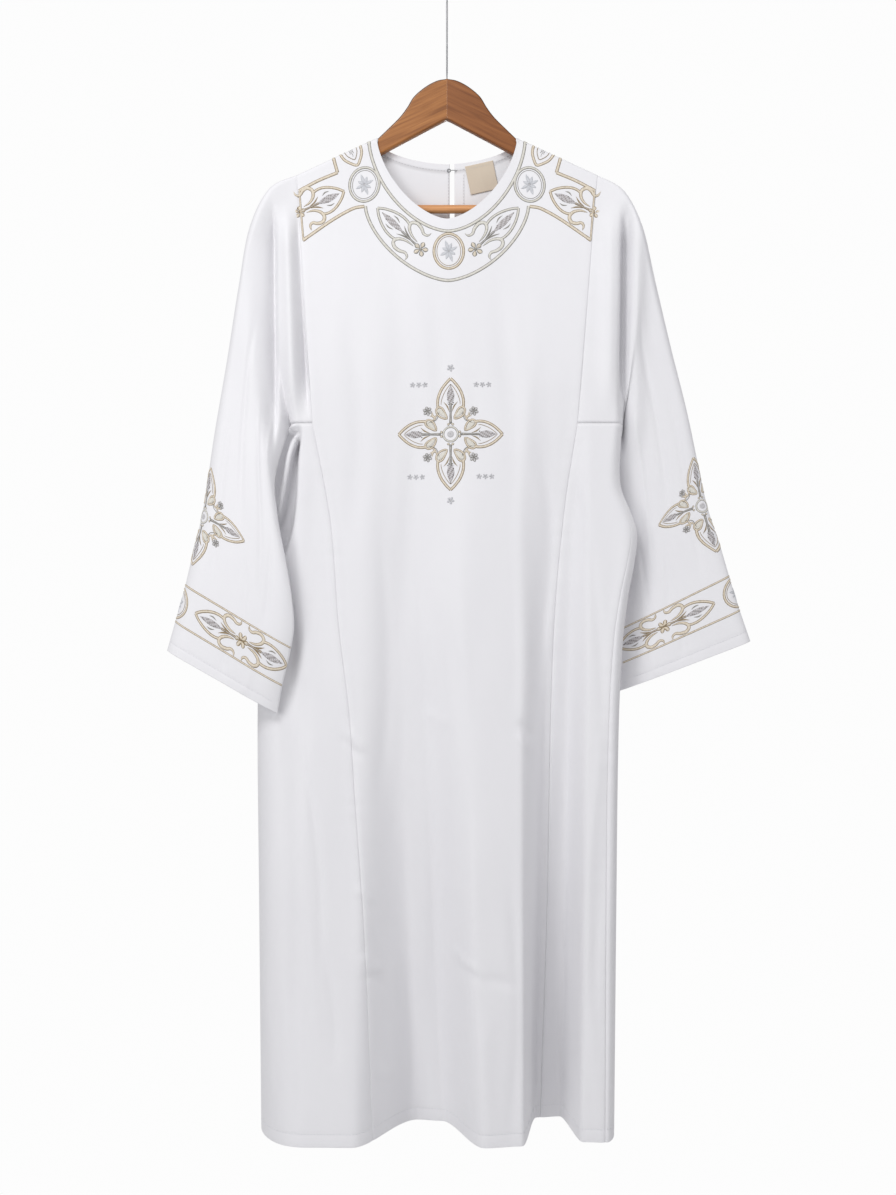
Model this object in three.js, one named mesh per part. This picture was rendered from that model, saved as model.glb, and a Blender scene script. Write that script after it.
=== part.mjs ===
// A coptic deacon's tunic hanging on its wooden hanger.
// Millimetres, +Z up. The front faces -Y; left (-X) and right (+X) are as seen from the front.
// The origin is the inside top of the steel hook. A "drop" is a height measured down from the
// top of the wood, so z = WOOD_TOP - drop.

import * as THREE from 'three';

// ---- Driving sizes ----
const WOOD_TOP = -160;
const CLOTH = 1.5;
const TURNED_CLOTH = 2.4;      // hem and cuffs, folded up on themselves
const TURN_UP = 17;
const SEAM_GAP = 0.3;

const NECK_HALF = 98;
const NECK_DROP = 82;          // where the neckline meets the shoulders
const FRONT_SCOOP = 117;
const BACK_SCOOP = 33;
const FRONT_SCOOP_POWER = 1.6; // of the superellipse: 2 is an ellipse, less is nearer a V
const BACK_SCOOP_POWER = 1.75;
const SHOULDER_SLOPE = 0.463;

const SHOULDER_HALF = 210;     // shoulder line's end, where the sleeve is sewn on
const ARMPIT_DROP = 484;
const HEM_DROP = 1462;
const FOLD_TOP = 300;          // below here the long folds start to open

const RIDGE_HALF = 9.2;        // half depth of the cloth over the hanger
const RIDGE_FALL = 5;
const CHEST_FALL = 330;        // distance below the ridge at which the chest depth is reached
const FRONT_FULLNESS = 20;
const BACK_FULLNESS = 17;

const SLIT_LEFT = 3.8;
const SLIT_RIGHT = 10.6;
const SLIT_ROWS = 8;

const WOOD_HALF = 6.5;
const WOOD_CHAMFER = 2.5;
const WOOD_CLEARANCE = 2.9;    // top of the wood under the outside of the cloth
const ARM_END = 225;
const ARM_END_DROP = 197;
const ARM_LOBE = 192;          // inner side of the lobe that holds the bar
const BAR_DROP = 181;
const BAR_RADIUS = 6;
const BAR_SIDES = 16;

const WIRE_RADIUS = 1.2;
const HOOK_RADIUS = 21;        // to the middle of the wire
const HOOK_STEPS = 44;

// ---- Tables ----
// Share of the way from the top edge down to the armpit, for each row of the upper body.
const UPPER_ROWS = [0, 0.0032, 0.0125, 0.03, 0.075, 0.15, 0.245, 0.36, 0.48, 0.6, 0.72, 0.83, 0.92, 0.98, 1];
const LOWER_ROWS = 15;
const GORE_COLUMNS = 8;
const SHOULDER_COLUMNS = 4;
const FRONT_NECK_COLUMNS = 4;
const BACK_NECK_COLUMNS = 3;
const NECK_RIDGE_DROPS = [2, 7];

// Long folds of each sheet, from left to right: where the fold runs at chest height and at the
// hem, its depth at the hem, the drop at which it starts, and how late it opens (power).
const FRONT_FOLDS = [
  { chest: -165, hem: -185, depth: -84, start: 600, power: 1.1 },
  { chest: -112, hem: -128, depth: -86, start: 350, power: 1.5 },
  { chest: -80, hem: -42, depth: 28, start: 250, power: 1.7 },
  { chest: -62, hem: -8, depth: 20, start: 250, power: 1.7 },
  { chest: 12, hem: 50, depth: -87, start: 300, power: 1.4 },
  { chest: 96, hem: 101, depth: -81, start: 300, power: 1.4 },
  { chest: 152, hem: 127, depth: 32, start: 430, power: 1.05 },
  { chest: 172, hem: 160, depth: 36, start: 430, power: 1.05 },
  { chest: 204, hem: 184, depth: -67, start: 430, power: 1.2 },
];
const BACK_FOLDS = [
  { chest: -180, hem: -196, depth: 72, start: 420, power: 1.2 },
  { chest: -110, hem: -118, depth: 46, start: 420, power: 1.2 },
  { chest: -35, hem: -26, depth: 86, start: 350, power: 1.3 },
  { chest: 50, hem: 62, depth: 40, start: 420, power: 1.2 },
  { chest: 150, hem: 144, depth: 90, start: 400, power: 1.2 },
  { chest: 205, hem: 204, depth: 58, start: 420, power: 1.2 },
];

// Side edges of the body: x and depth of each edge, and the radius with which the front and the
// back sheet round into it.
const LEFT_EDGE = [
  { drop: 484, x: -218, y: 0, front: 14, back: 14 },
  { drop: 520, x: -227, y: 0, front: 15, back: 15 },
  { drop: 560, x: -234.5, y: 0, front: 16, back: 16 },
  { drop: 600, x: -241, y: 0, front: 19, back: 17 },
  { drop: 650, x: -248, y: 1, front: 22, back: 18 },
  { drop: 760, x: -259, y: 2, front: 29, back: 22 },
  { drop: 880, x: -265, y: 4, front: 36, back: 26 },
  { drop: 1150, x: -263, y: 6, front: 52, back: 34 },
  { drop: 1462, x: -260, y: 8, front: 68, back: 42 },
];
const RIGHT_EDGE = [
  { drop: 484, x: 245, y: 0, front: 12, back: 14 },
  { drop: 510, x: 240, y: -3, front: 12, back: 20 },
  { drop: 548, x: 243, y: -4, front: 12, back: 30 },
  { drop: 612, x: 265, y: -5, front: 13, back: 38 },
  { drop: 693, x: 256, y: -6, front: 14, back: 40 },
  { drop: 784, x: 245, y: -7, front: 14, back: 42 },
  { drop: 900, x: 239, y: -8, front: 14, back: 44 },
  { drop: 1150, x: 235, y: -12, front: 15, back: 46 },
  { drop: 1462, x: 231, y: -18, front: 16, back: 48 },
];

// Seams between the centre panels and the gores, as the x of each at a drop.
const FRONT_SEAM_LEFT = [
  { drop: 484, x: -186 }, { drop: 620, x: -161 }, { drop: 763, x: -149 }, { drop: 885, x: -134 },
  { drop: 1000, x: -126 }, { drop: 1190, x: -112 }, { drop: 1462, x: -101 },
];
const FRONT_SEAM_RIGHT = [
  { drop: 484, x: 180 }, { drop: 601, x: 163 }, { drop: 732, x: 151 }, { drop: 885, x: 145 },
  { drop: 1150, x: 141 }, { drop: 1462, x: 132 },
];
const BACK_SEAM_LEFT = [
  { drop: 484, x: -186 }, { drop: 700, x: -160 }, { drop: 1000, x: -140 }, { drop: 1462, x: -116 },
];
const BACK_SEAM_RIGHT = [
  { drop: 484, x: 180 }, { drop: 700, x: 162 }, { drop: 1000, x: 144 }, { drop: 1462, x: 118 },
];
// How far in front of the right edge its side seam runs.
const SIDE_SEAM_SHIFT = [
  { drop: 484, x: 0 }, { drop: 700, x: 14 }, { drop: 1000, x: 18 }, { drop: 1462, x: 17 },
];

// Stations of a sleeve from the armhole to the cuff. "inner" is the underarm side and "outer" the
// fold over the hanger and down the arm; "half" is half the sleeve's depth between its two sheets.
const LEFT_SLEEVE = [
  { innerX: -186, innerDrop: 484, innerY: 0, outerX: -210, outerDrop: 134, outerY: 0, half: 27 },
  { innerX: -204, innerDrop: 484, innerY: 0, outerX: -248, outerDrop: 153, outerY: 0, half: 24 },
  { innerX: -218, innerDrop: 484, innerY: 0, outerX: -276, outerDrop: 207, outerY: 0, half: 21 },
  { innerX: -235.5, innerDrop: 555, innerY: -34, outerX: -291, outerDrop: 290, outerY: -2, half: 17 },
  { innerX: -231, innerDrop: 613, innerY: -49, outerX: -307, outerDrop: 395, outerY: -6, half: 14 },
  { innerX: -219, innerDrop: 673, innerY: -58, outerX: -323, outerDrop: 495, outerY: -12, half: 15 },
  { innerX: -210.5, innerDrop: 722, innerY: -62, outerX: -338, outerDrop: 601, outerY: -18, half: 16 },
  { innerX: -207.5, innerDrop: 764, innerY: -63, outerX: -352, outerDrop: 664, outerY: -22, half: 16 },
  { innerX: -212.5, innerDrop: 798, innerY: -62, outerX: -363, outerDrop: 713, outerY: -24, half: 16 },
  { innerX: -223.5, innerDrop: 844, innerY: -60, outerX: -375, outerDrop: 757, outerY: -26, half: 15 },
  { innerX: -230.5, innerDrop: 882, innerY: -56, outerX: -386, outerDrop: 797, outerY: -28, half: 15 },
];
const RIGHT_SLEEVE = [
  { innerX: 180, innerDrop: 484, innerY: 0, outerX: 210, outerDrop: 134, outerY: 0, half: 27 },
  { innerX: 214, innerDrop: 484, innerY: 0, outerX: 247, outerDrop: 156, outerY: 0, half: 24 },
  { innerX: 245, innerDrop: 484, innerY: 0, outerX: 273, outerDrop: 207, outerY: 0, half: 21 },
  { innerX: 246, innerDrop: 552, innerY: 16, outerX: 293, outerDrop: 290, outerY: 0, half: 17 },
  { innerX: 261, innerDrop: 606, innerY: 22, outerX: 314, outerDrop: 378, outerY: 0, half: 14 },
  { innerX: 258, innerDrop: 660, innerY: 25, outerX: 337, outerDrop: 470, outerY: 0, half: 13 },
  { innerX: 251, innerDrop: 704, innerY: 26, outerX: 362, outerDrop: 588, outerY: 0, half: 12 },
  { innerX: 246, innerDrop: 738, innerY: 26, outerX: 383, outerDrop: 655, outerY: -1, half: 12 },
  { innerX: 243, innerDrop: 776, innerY: 25, outerX: 396, outerDrop: 700, outerY: -2, half: 13 },
  { innerX: 241, innerDrop: 820, innerY: 24, outerX: 409, outerDrop: 742, outerY: -3, half: 14 },
  { innerX: 243, innerDrop: 857, innerY: 23, outerX: 423.5, outerDrop: 785, outerY: -4, half: 15 },
];
const ATTACHED_STATIONS = 2;   // up to here a sleeve is sewn to the tops of its gores
const FREE_ROWS = 11;
const INNER_ROUNDING = 8;

// Upright folds of the sleeves: x at the shoulder and x at the armpit's drop, reach to each side,
// depth (forward is negative) and the sheet they lie in (-1 front, 1 back).
const LEFT_SLEEVE_FOLDS = [
  { top: -232, low: -212, reach: 13, depth: -11, sheet: -1 },
  { top: -249, low: -246, reach: 9, depth: 15, sheet: -1 },
  { top: -238, low: -238, reach: 12, depth: -12, sheet: 1 },
];
const RIGHT_SLEEVE_FOLDS = [
  { top: 244, low: 247, reach: 11, depth: 19, sheet: -1 },
  { top: 226, low: 222, reach: 13, depth: -6, sheet: -1 },
  { top: 240, low: 238, reach: 12, depth: -12, sheet: 1 },
];
const SLEEVE_FOLD_TOP = 190;
const SLEEVE_FOLD_END = 520;
const SLEEVE_FOLD_FADE = 60;

// ---- Small helpers ----
const { lerp, clamp, smoothstep } = THREE.MathUtils;
const quarterRound = (share) => Math.sqrt(1 - (1 - clamp(share, 0, 1)) ** 2);
const place = (x, y, drop) => new THREE.Vector3(x, y, WOOD_TOP - drop);

/** A cubic between two values with the given slopes, where t runs from 0 to 1. */
function cubic(from, to, slopeFrom, slopeTo, t) {
  const rise = to - from;
  const bend = 3 * rise - 2 * slopeFrom - slopeTo;
  const twist = slopeFrom + slopeTo - 2 * rise;
  return from + t * (slopeFrom + t * (bend + t * twist));
}

/** The value of one column of a table at a drop, on a smooth curve through its rows. */
function column(table, name, drop) {
  const last = table.length - 1;
  const at = clamp(drop, table[0].drop, table[last].drop);
  let row = 0;
  while (row < last - 1 && at > table[row + 1].drop) row += 1;
  const steepness = (i) => {
    const [above, below] = [table[Math.max(i - 1, 0)], table[Math.min(i + 1, last)]];
    return (below[name] - above[name]) / (below.drop - above.drop);
  };
  const span = table[row + 1].drop - table[row].drop;
  return cubic(table[row][name], table[row + 1][name], steepness(row) * span,
    steepness(row + 1) * span, (at - table[row].drop) / span);
}

/** A smooth curve through evenly numbered values, read at a fractional number. */
function hermite(values, at) {
  const last = values.length - 1;
  const start = Math.min(Math.floor(at), last - 1);
  const slope = (i) => (values[Math.min(i + 1, last)] - values[Math.max(i - 1, 0)]) / 2;
  return cubic(values[start], values[start + 1], slope(start), slope(start + 1), at - start);
}

/** Points at the given shares of the length along a row of close points. */
function resample(points, shares) {
  const lengths = [0];
  for (let i = 1; i < points.length; i += 1) {
    lengths.push(lengths[i - 1] + points[i].distanceTo(points[i - 1]));
  }
  const total = lengths[lengths.length - 1];
  let at = 1;
  return shares.map((share) => {
    if (share === 0) return points[0].clone();
    if (share === 1) return points[points.length - 1].clone();
    while (lengths[at] < share * total) at += 1;
    const part = (share * total - lengths[at - 1]) / (lengths[at] - lengths[at - 1]);
    return points[at - 1].clone().lerp(points[at], part);
  });
}

const evenShares = (count) => Array.from({ length: count + 1 }, (_, i) => i / count);

// ---- The body's two sheets ----
const ridgeDrop = (x) => NECK_DROP + (Math.abs(x) - NECK_HALF) * SHOULDER_SLOPE;

function neckDrop(x, scoop, power) {
  const inside = 1 - (Math.abs(x) / NECK_HALF) ** power;
  return NECK_DROP + scoop * Math.max(inside, 0) ** (1 / power);
}

/** Depth of a sheet near the shoulders, where it falls straight from the hanger. */
function fallingDepth(belowRidge, fullness) {
  return RIDGE_HALF * quarterRound(belowRidge / RIDGE_FALL)
    + fullness * smoothstep(belowRidge, 0, CHEST_FALL);
}

/** Depth of a sheet (-1 front, 1 back) with its long folds, before the side edges are rounded. */
function sheetDepth(sheet, x, drop) {
  const folds = sheet < 0 ? FRONT_FOLDS : BACK_FOLDS;
  const fullness = sheet < 0 ? FRONT_FULLNESS : BACK_FULLNESS;
  const plain = sheet * fallingDepth(drop - ridgeDrop(x), fullness);
  const down = clamp((drop - FOLD_TOP) / (HEM_DROP - FOLD_TOP), 0, 1);
  const at = folds.map((fold) => lerp(fold.chest, fold.hem, down));
  const depth = folds.map((fold) => {
    const opened = clamp((drop - fold.start) / (HEM_DROP - fold.start), 0, 1) ** fold.power;
    return lerp(plain, fold.depth, opened);
  });
  if (x <= at[0]) return depth[0];
  const next = at.findIndex((position) => position > x);
  if (next < 0) return depth[depth.length - 1];
  return lerp(depth[next - 1], depth[next], smoothstep(x, at[next - 1], at[next]));
}

/** A point of the body's front (-1) or back (1) sheet. */
function bodyPoint(sheet, x, drop) {
  let y = sheetDepth(sheet, x, drop);
  if (drop >= ARMPIT_DROP) {
    const radius = sheet < 0 ? 'front' : 'back';
    for (const [table, side] of [[LEFT_EDGE, -1], [RIGHT_EDGE, 1]]) {
      const inside = side * (column(table, 'x', drop) - x) / column(table, radius, drop);
      if (inside < 1) y = lerp(column(table, 'y', drop), y, quarterRound(inside));
    }
  }
  return place(x, y, drop);
}

const armholeX = (side, drop) => {
  const top = side * SHOULDER_HALF;
  const low = side < 0 ? FRONT_SEAM_LEFT[0].x : FRONT_SEAM_RIGHT[0].x;
  return lerp(top, low, (drop - ridgeDrop(top)) / (ARMPIT_DROP - ridgeDrop(top)));
};

/** Close points along a sheet between two x, crowded at the end that lies on a side edge. */
function sheetPath(sheet, from, to, drop, edgeAt) {
  const steps = 90;
  return evenShares(steps).map((share) => {
    let eased = share;
    if (edgeAt === 'from') eased = 1 - Math.cos(share * Math.PI / 2);
    if (edgeAt === 'to') eased = Math.sin(share * Math.PI / 2);
    return bodyPoint(sheet, share === 1 ? to : lerp(from, to, eased), drop);
  });
}

const lowerDrops = [
  ...evenShares(LOWER_ROWS).map((share) => lerp(ARMPIT_DROP, HEM_DROP - TURN_UP, share)),
  HEM_DROP,
];

// ---- Panels, each a grid of points on the cloth's outside, from left to right as worn ----

/** A centre panel. Its top edge is the shoulder line and the neckline; its sides the armholes. */
function centrePanel(sheet, topX, armpitX) {
  const [scoop, power] = sheet < 0 ? [FRONT_SCOOP, FRONT_SCOOP_POWER] : [BACK_SCOOP, BACK_SCOOP_POWER];
  const last = topX.length - 1;
  const upper = UPPER_ROWS.map((share) => topX.map((top, i) => {
    const topDrop = Math.abs(top) < NECK_HALF ? neckDrop(top, scoop, power) : ridgeDrop(top);
    const drop = lerp(topDrop, ARMPIT_DROP, share);
    const onArmhole = i === 0 || i === last;
    const x = onArmhole ? armholeX(Math.sign(top), drop) : lerp(top, armpitX[i], share);
    return bodyPoint(sheet, x, drop);
  }));
  const width = armpitX[last] - armpitX[0];
  const shares = armpitX.map((x) => (x - armpitX[0]) / width);
  const seams = sheet < 0 ? [FRONT_SEAM_LEFT, FRONT_SEAM_RIGHT] : [BACK_SEAM_RIGHT, BACK_SEAM_LEFT];
  const lower = lowerDrops.slice(1).map((drop) => {
    const [from, to] = seams.map((seam) => column(seam, 'x', drop));
    return resample(sheetPath(sheet, from, to, drop), shares);
  });
  return [...upper, ...lower];
}

/** The x of each column of half a top edge, from the armhole to the middle of the neckline: even on
 * the shoulder, close where the neckline leaves the ridge, then by angle round the scoop. */
function topEdgeX(scoop, power, neckColumns) {
  const shoulder = evenShares(SHOULDER_COLUMNS).map((share) => lerp(SHOULDER_HALF, NECK_HALF, share));
  const ridge = NECK_RIDGE_DROPS.map((drop) => Math.asin((drop / scoop) ** (power / 2)));
  const round = evenShares(neckColumns).slice(1).map((share) => lerp(ridge.at(-1), Math.PI / 2, share));
  const neck = [...ridge, ...round].map((angle) => NECK_HALF * Math.cos(angle) ** (2 / power));
  return [...shoulder, ...neck];
}

function frontPanel() {
  const half = topEdgeX(FRONT_SCOOP, FRONT_SCOOP_POWER, FRONT_NECK_COLUMNS);
  half[half.length - 1] = 0;
  const top = [...half.map((x) => -x), ...half.slice(0, -1).reverse()];
  const armpit = evenShares(top.length - 1).map((share) => (
    lerp(FRONT_SEAM_LEFT[0].x, FRONT_SEAM_RIGHT[0].x, share)));
  return centrePanel(-1, top, armpit);
}

/** The back panel, seen from behind: from the right armhole to the left, with the slit's column. */
function backPanel() {
  const rightTop = topEdgeX(BACK_SCOOP, BACK_SCOOP_POWER, BACK_NECK_COLUMNS).slice(0, -1);
  const leftTop = rightTop.map((x) => -x).reverse();
  const top = [...rightTop, SLIT_RIGHT, SLIT_LEFT, ...leftTop];
  const toSlit = (side, slit, count) => evenShares(count).map((share) => (
    lerp(side[0].x, slit, share)));
  const armpit = [
    ...toSlit(BACK_SEAM_RIGHT, SLIT_RIGHT, rightTop.length),
    ...toSlit(BACK_SEAM_LEFT, SLIT_LEFT, leftTop.length).reverse(),
  ];
  return centrePanel(1, top, armpit);
}

/** A gore: the rows of its paths, each a list of [sheet, from, to, edge] stretches. */
function gore(stretches) {
  return lowerDrops.map((drop) => {
    const path = stretches(drop).flatMap(([sheet, from, to, edgeAt], i) => (
      sheetPath(sheet, from, to, drop, edgeAt).slice(i === 0 ? 0 : 1)));
    return resample(path, evenShares(GORE_COLUMNS));
  });
}

const leftX = (drop) => column(LEFT_EDGE, 'x', drop);
const rightX = (drop) => column(RIGHT_EDGE, 'x', drop);
const sideSeamX = (drop) => rightX(drop) - column(SIDE_SEAM_SHIFT, 'x', drop);

const goreFrontLeft = gore((drop) => [[-1, leftX(drop), column(FRONT_SEAM_LEFT, 'x', drop), 'from']]);
const goreFrontRight = gore((drop) => [[-1, column(FRONT_SEAM_RIGHT, 'x', drop), sideSeamX(drop), 'to']]);
const goreBackLeft = gore((drop) => [[1, column(BACK_SEAM_LEFT, 'x', drop), leftX(drop), 'to']]);
const goreBackRight = gore((drop) => {
  const back = [1, rightX(drop), column(BACK_SEAM_RIGHT, 'x', drop), 'from'];
  if (sideSeamX(drop) === rightX(drop)) return [back];
  return [[-1, sideSeamX(drop), rightX(drop), 'to'], back];
});

/** Depth that the upright folds add to a sleeve's sheet. */
function sleeveFoldDepth(folds, sheet, x, drop) {
  const open = smoothstep(drop, SLEEVE_FOLD_TOP, SLEEVE_FOLD_TOP + SLEEVE_FOLD_FADE)
    * (1 - smoothstep(drop, SLEEVE_FOLD_END - SLEEVE_FOLD_FADE, SLEEVE_FOLD_END));
  const down = (drop - SLEEVE_FOLD_TOP) / (ARMPIT_DROP - SLEEVE_FOLD_TOP);
  return folds.filter((fold) => fold.sheet === sheet).reduce((sum, fold) => {
    const away = (x - lerp(fold.top, fold.low, down)) / fold.reach;
    return sum + open * fold.depth * Math.exp(-away * away);
  }, 0);
}

/** One sheet's row of a sleeve, from the underarm to the outer fold. */
function sleeveRow(stations, folds, at, sheet, innerPoint) {
  const value = (name) => hermite(stations.map((station) => station[name]), at);
  const outer = { x: value('outerX'), y: value('outerY'), drop: value('outerDrop') };
  const inner = innerPoint ?? place(value('innerX'), value('innerY'), value('innerDrop'));
  const innerDrop = WOOD_TOP - inner.z;
  const length = Math.hypot(inner.x - outer.x, innerDrop - outer.drop);
  const loose = smoothstep(at, 0, ATTACHED_STATIONS);
  const fullness = sheet < 0 ? FRONT_FULLNESS : BACK_FULLNESS;
  const foldFall = lerp(RIDGE_FALL, 22, loose);
  return UPPER_ROWS.map((share) => 1 - share).reverse().map((share) => {
    const x = lerp(inner.x, outer.x, share);
    const drop = lerp(innerDrop, outer.drop, share);
    const hanging = sheet * fallingDepth((innerDrop - outer.drop) * (1 - share), fullness);
    const middle = lerp(value('innerY'), outer.y, share);
    const tube = middle + sheet * value('half') * quarterRound(length * (1 - share) / foldFall)
      + sleeveFoldDepth(folds, sheet, x, drop);
    const open = lerp(hanging, tube, loose);
    return place(x, lerp(inner.y, open, 1 - (1 - share) ** INNER_ROUNDING), drop);
  });
}

/** A sleeve: rows from the armhole to the cuff, each from the front's underarm over to the back's. */
function sleeve(side, stations, folds, frontTop, backTop, armholeFront, armholeBack) {
  const attached = evenShares(GORE_COLUMNS).map((share) => share * ATTACHED_STATIONS);
  const cuff = stations.length - 1;
  const free = evenShares(FREE_ROWS).slice(1).map((share) => lerp(ATTACHED_STATIONS, cuff, share));
  return [...attached, ...free].map((at, row) => {
    const onGore = row < attached.length;
    const front = row === 0 ? armholeFront
      : sleeveRow(stations, folds, at, -1, onGore ? frontTop[row] : null);
    const back = row === 0 ? armholeBack
      : sleeveRow(stations, folds, at, 1, onGore ? backTop[row] : null);
    const loop = [...front, ...back.slice(0, -1).reverse()];
    return side < 0 ? loop.reverse() : loop;
  });
}

const front = frontPanel();
const back = backPanel();
const upperEdge = (panel, index) => (
  panel.slice(0, UPPER_ROWS.length).map((row) => row.at(index)).reverse());

const panels = {
  front,
  back,
  side_front_left: goreFrontLeft,
  side_front_right: goreFrontRight,
  side_back_left: goreBackLeft,
  side_back_right: goreBackRight,
  sleeve_left: sleeve(-1, LEFT_SLEEVE, LEFT_SLEEVE_FOLDS, [...goreFrontLeft[0]].reverse(),
    goreBackLeft[0], upperEdge(front, 0), upperEdge(back, -1)),
  sleeve_right: sleeve(1, RIGHT_SLEEVE, RIGHT_SLEEVE_FOLDS, goreFrontRight[0],
    [...goreBackRight[0]].reverse(), upperEdge(front, -1), upperEdge(back, 0)),
};

// ---- From panels to cloth walls ----
const pointKey = (point) => point.toArray().map((value) => value.toFixed(3)).join();

/** Outward directions shared by every panel that meets at a point. */
function sharedNormals(grids) {
  const sums = new Map();
  const corners = [new THREE.Vector3(), new THREE.Vector3()];
  for (const grid of grids) {
    for (let row = 1; row < grid.length; row += 1) {
      for (let i = 1; i < grid[row].length; i += 1) {
        const cell = [grid[row - 1][i - 1], grid[row - 1][i], grid[row][i], grid[row][i - 1]];
        corners[0].subVectors(cell[2], cell[0]);
        corners[1].subVectors(cell[1], cell[3]);
        const normal = corners[0].clone().cross(corners[1]);
        for (const point of cell) {
          const key = pointKey(point);
          if (!sums.has(key)) sums.set(key, new THREE.Vector3());
          sums.get(key).add(normal);
        }
      }
    }
  }
  for (const normal of sums.values()) normal.normalize();
  return sums;
}

/** A border point moved into its panel by half a seam gap, square to the border. */
function drawnIn(grid, row, i) {
  const point = grid[row][i];
  const moved = point.clone();
  const rows = grid.length - 1;
  const columns = grid[0].length - 1;
  const pull = (inward, along) => {
    const direction = inward.clone().sub(point);
    const edge = along[1].clone().sub(along[0]).normalize();
    direction.addScaledVector(edge, -direction.dot(edge)).setLength(SEAM_GAP / 2);
    moved.add(direction);
  };
  const beside = [grid[row][Math.max(i - 1, 0)], grid[row][Math.min(i + 1, columns)]];
  const aboveBelow = [grid[Math.max(row - 1, 0)][i], grid[Math.min(row + 1, rows)][i]];
  if (row === 0) pull(aboveBelow[1], beside);
  if (row === rows) pull(aboveBelow[0], beside);
  if (i === 0) pull(beside[1], aboveBelow);
  if (i === columns) pull(beside[0], aboveBelow);
  return moved;
}

/** A closed wall: the grid, the same grid moved in by its thickness, and rims round each border. */
function wall(grid, normalAt, thickness, hasCell = () => true) {
  const rows = grid.length;
  const columns = grid[0].length;
  const positions = [];
  const used = new Map();
  const vertex = (row, i, layer) => {
    const key = (row * columns + i) * 2 + layer;
    if (!used.has(key)) {
      const point = drawnIn(grid, row, i);
      if (layer === 1) point.addScaledVector(normalAt(row, i), -thickness(row));
      used.set(key, positions.length / 3);
      positions.push(...point.toArray());
    }
    return used.get(key);
  };
  const faces = [];
  const quad = (a, b, c, d) => faces.push(a, b, c, a, c, d);
  const filled = (row, i) => (
    row >= 0 && i >= 0 && row < rows - 1 && i < columns - 1 && hasCell(row, i));
  for (let row = 0; row < rows - 1; row += 1) {
    for (let i = 0; i < columns - 1; i += 1) {
      if (!filled(row, i)) continue;
      const corners = [[row, i], [row + 1, i], [row + 1, i + 1], [row, i + 1]];
      quad(...corners.map(([r, c]) => vertex(r, c, 0)));
      quad(...corners.map(([r, c]) => vertex(r, c, 1)).reverse());
      const beyond = [[row, i - 1], [row + 1, i], [row, i + 1], [row - 1, i]];
      beyond.forEach(([nextRow, nextColumn], side) => {
        if (filled(nextRow, nextColumn)) return;
        const from = corners[side];
        const to = corners[(side + 1) % 4];
        quad(vertex(...from, 1), vertex(...to, 1), vertex(...to, 0), vertex(...from, 0));
      });
    }
  }
  const geometry = new THREE.BufferGeometry();
  geometry.setAttribute('position', new THREE.Float32BufferAttribute(positions, 3));
  geometry.setIndex(faces);
  geometry.computeVertexNormals();
  return geometry;
}

// ---- Materials ----
const cloth = new THREE.MeshStandardMaterial({ color: 0xe9e7ec, roughness: 0.6, metalness: 0 });
const labelCloth = new THREE.MeshStandardMaterial({ color: 0xcfc3b0, roughness: 0.7, metalness: 0 });
const wood = new THREE.MeshStandardMaterial({ color: 0xb07046, roughness: 0.45, metalness: 0 });
const steel = new THREE.MeshStandardMaterial({ color: 0xc9cbcd, roughness: 0.25, metalness: 1 });

function named(name, geometry, material) {
  const mesh = new THREE.Mesh(geometry, material);
  mesh.name = name;
  return mesh;
}

// ---- The label inside the back neck ----
const LABEL = { x: 49, drop: 134, size: 40, tilt: -0.21, thickness: 0.9, cells: 4 };

function labelGeometry() {
  const across = evenShares(LABEL.cells).map((share) => (share - 0.5) * LABEL.size);
  const inset = CLOTH + SEAM_GAP;
  const grid = across.map((down) => across.map((side) => {
    const x = LABEL.x - side * Math.cos(LABEL.tilt) - down * Math.sin(LABEL.tilt);
    const drop = LABEL.drop + down * Math.cos(LABEL.tilt) - side * Math.sin(LABEL.tilt);
    const point = bodyPoint(1, x, drop);
    return point.setY(point.y - inset);
  }));
  const normals = sharedNormals([grid]);
  return wall(grid, (row, i) => normals.get(pointKey(grid[row][i])), () => LABEL.thickness);
}

// ---- Hook and eye at the top of the slit ----
const CLASP = { drop: 124, wire: 0.6, eyeRadius: 2.3, reach: 6, sides: 6 };

function wireTube(points, radius, sides, steps) {
  const section = new THREE.Shape();
  for (let i = 0; i < sides; i += 1) {
    const angle = 2 * Math.PI * i / sides;
    const corner = [radius * Math.cos(angle), radius * Math.sin(angle)];
    if (i === 0) section.moveTo(...corner);
    else section.lineTo(...corner);
  }
  const path = new THREE.CatmullRomCurve3(points, false, 'centripetal');
  return new THREE.ExtrudeGeometry(section, { steps, extrudePath: path, bevelEnabled: false });
}

function claspParts() {
  const depth = sheetDepth(1, SLIT_LEFT, CLASP.drop) - CLOTH - SEAM_GAP - CLASP.wire;
  const eye = new THREE.TorusGeometry(CLASP.eyeRadius, CLASP.wire, CLASP.sides, 14);
  eye.rotateX(Math.PI / 2);
  eye.translate(SLIT_LEFT - 1, depth, WOOD_TOP - CLASP.drop);
  const hookDrop = CLASP.drop;
  const layer = depth - 2 * CLASP.wire - SEAM_GAP;
  const hook = wireTube([
    place(SLIT_RIGHT + 3, depth, hookDrop),
    place(SLIT_RIGHT - 1, layer, hookDrop),
    place(SLIT_LEFT + 0.4, layer, hookDrop),
  ], CLASP.wire, CLASP.sides, 8);
  return [named('clasp_eye', eye, steel), named('clasp_hook', hook, steel)];
}

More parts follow.
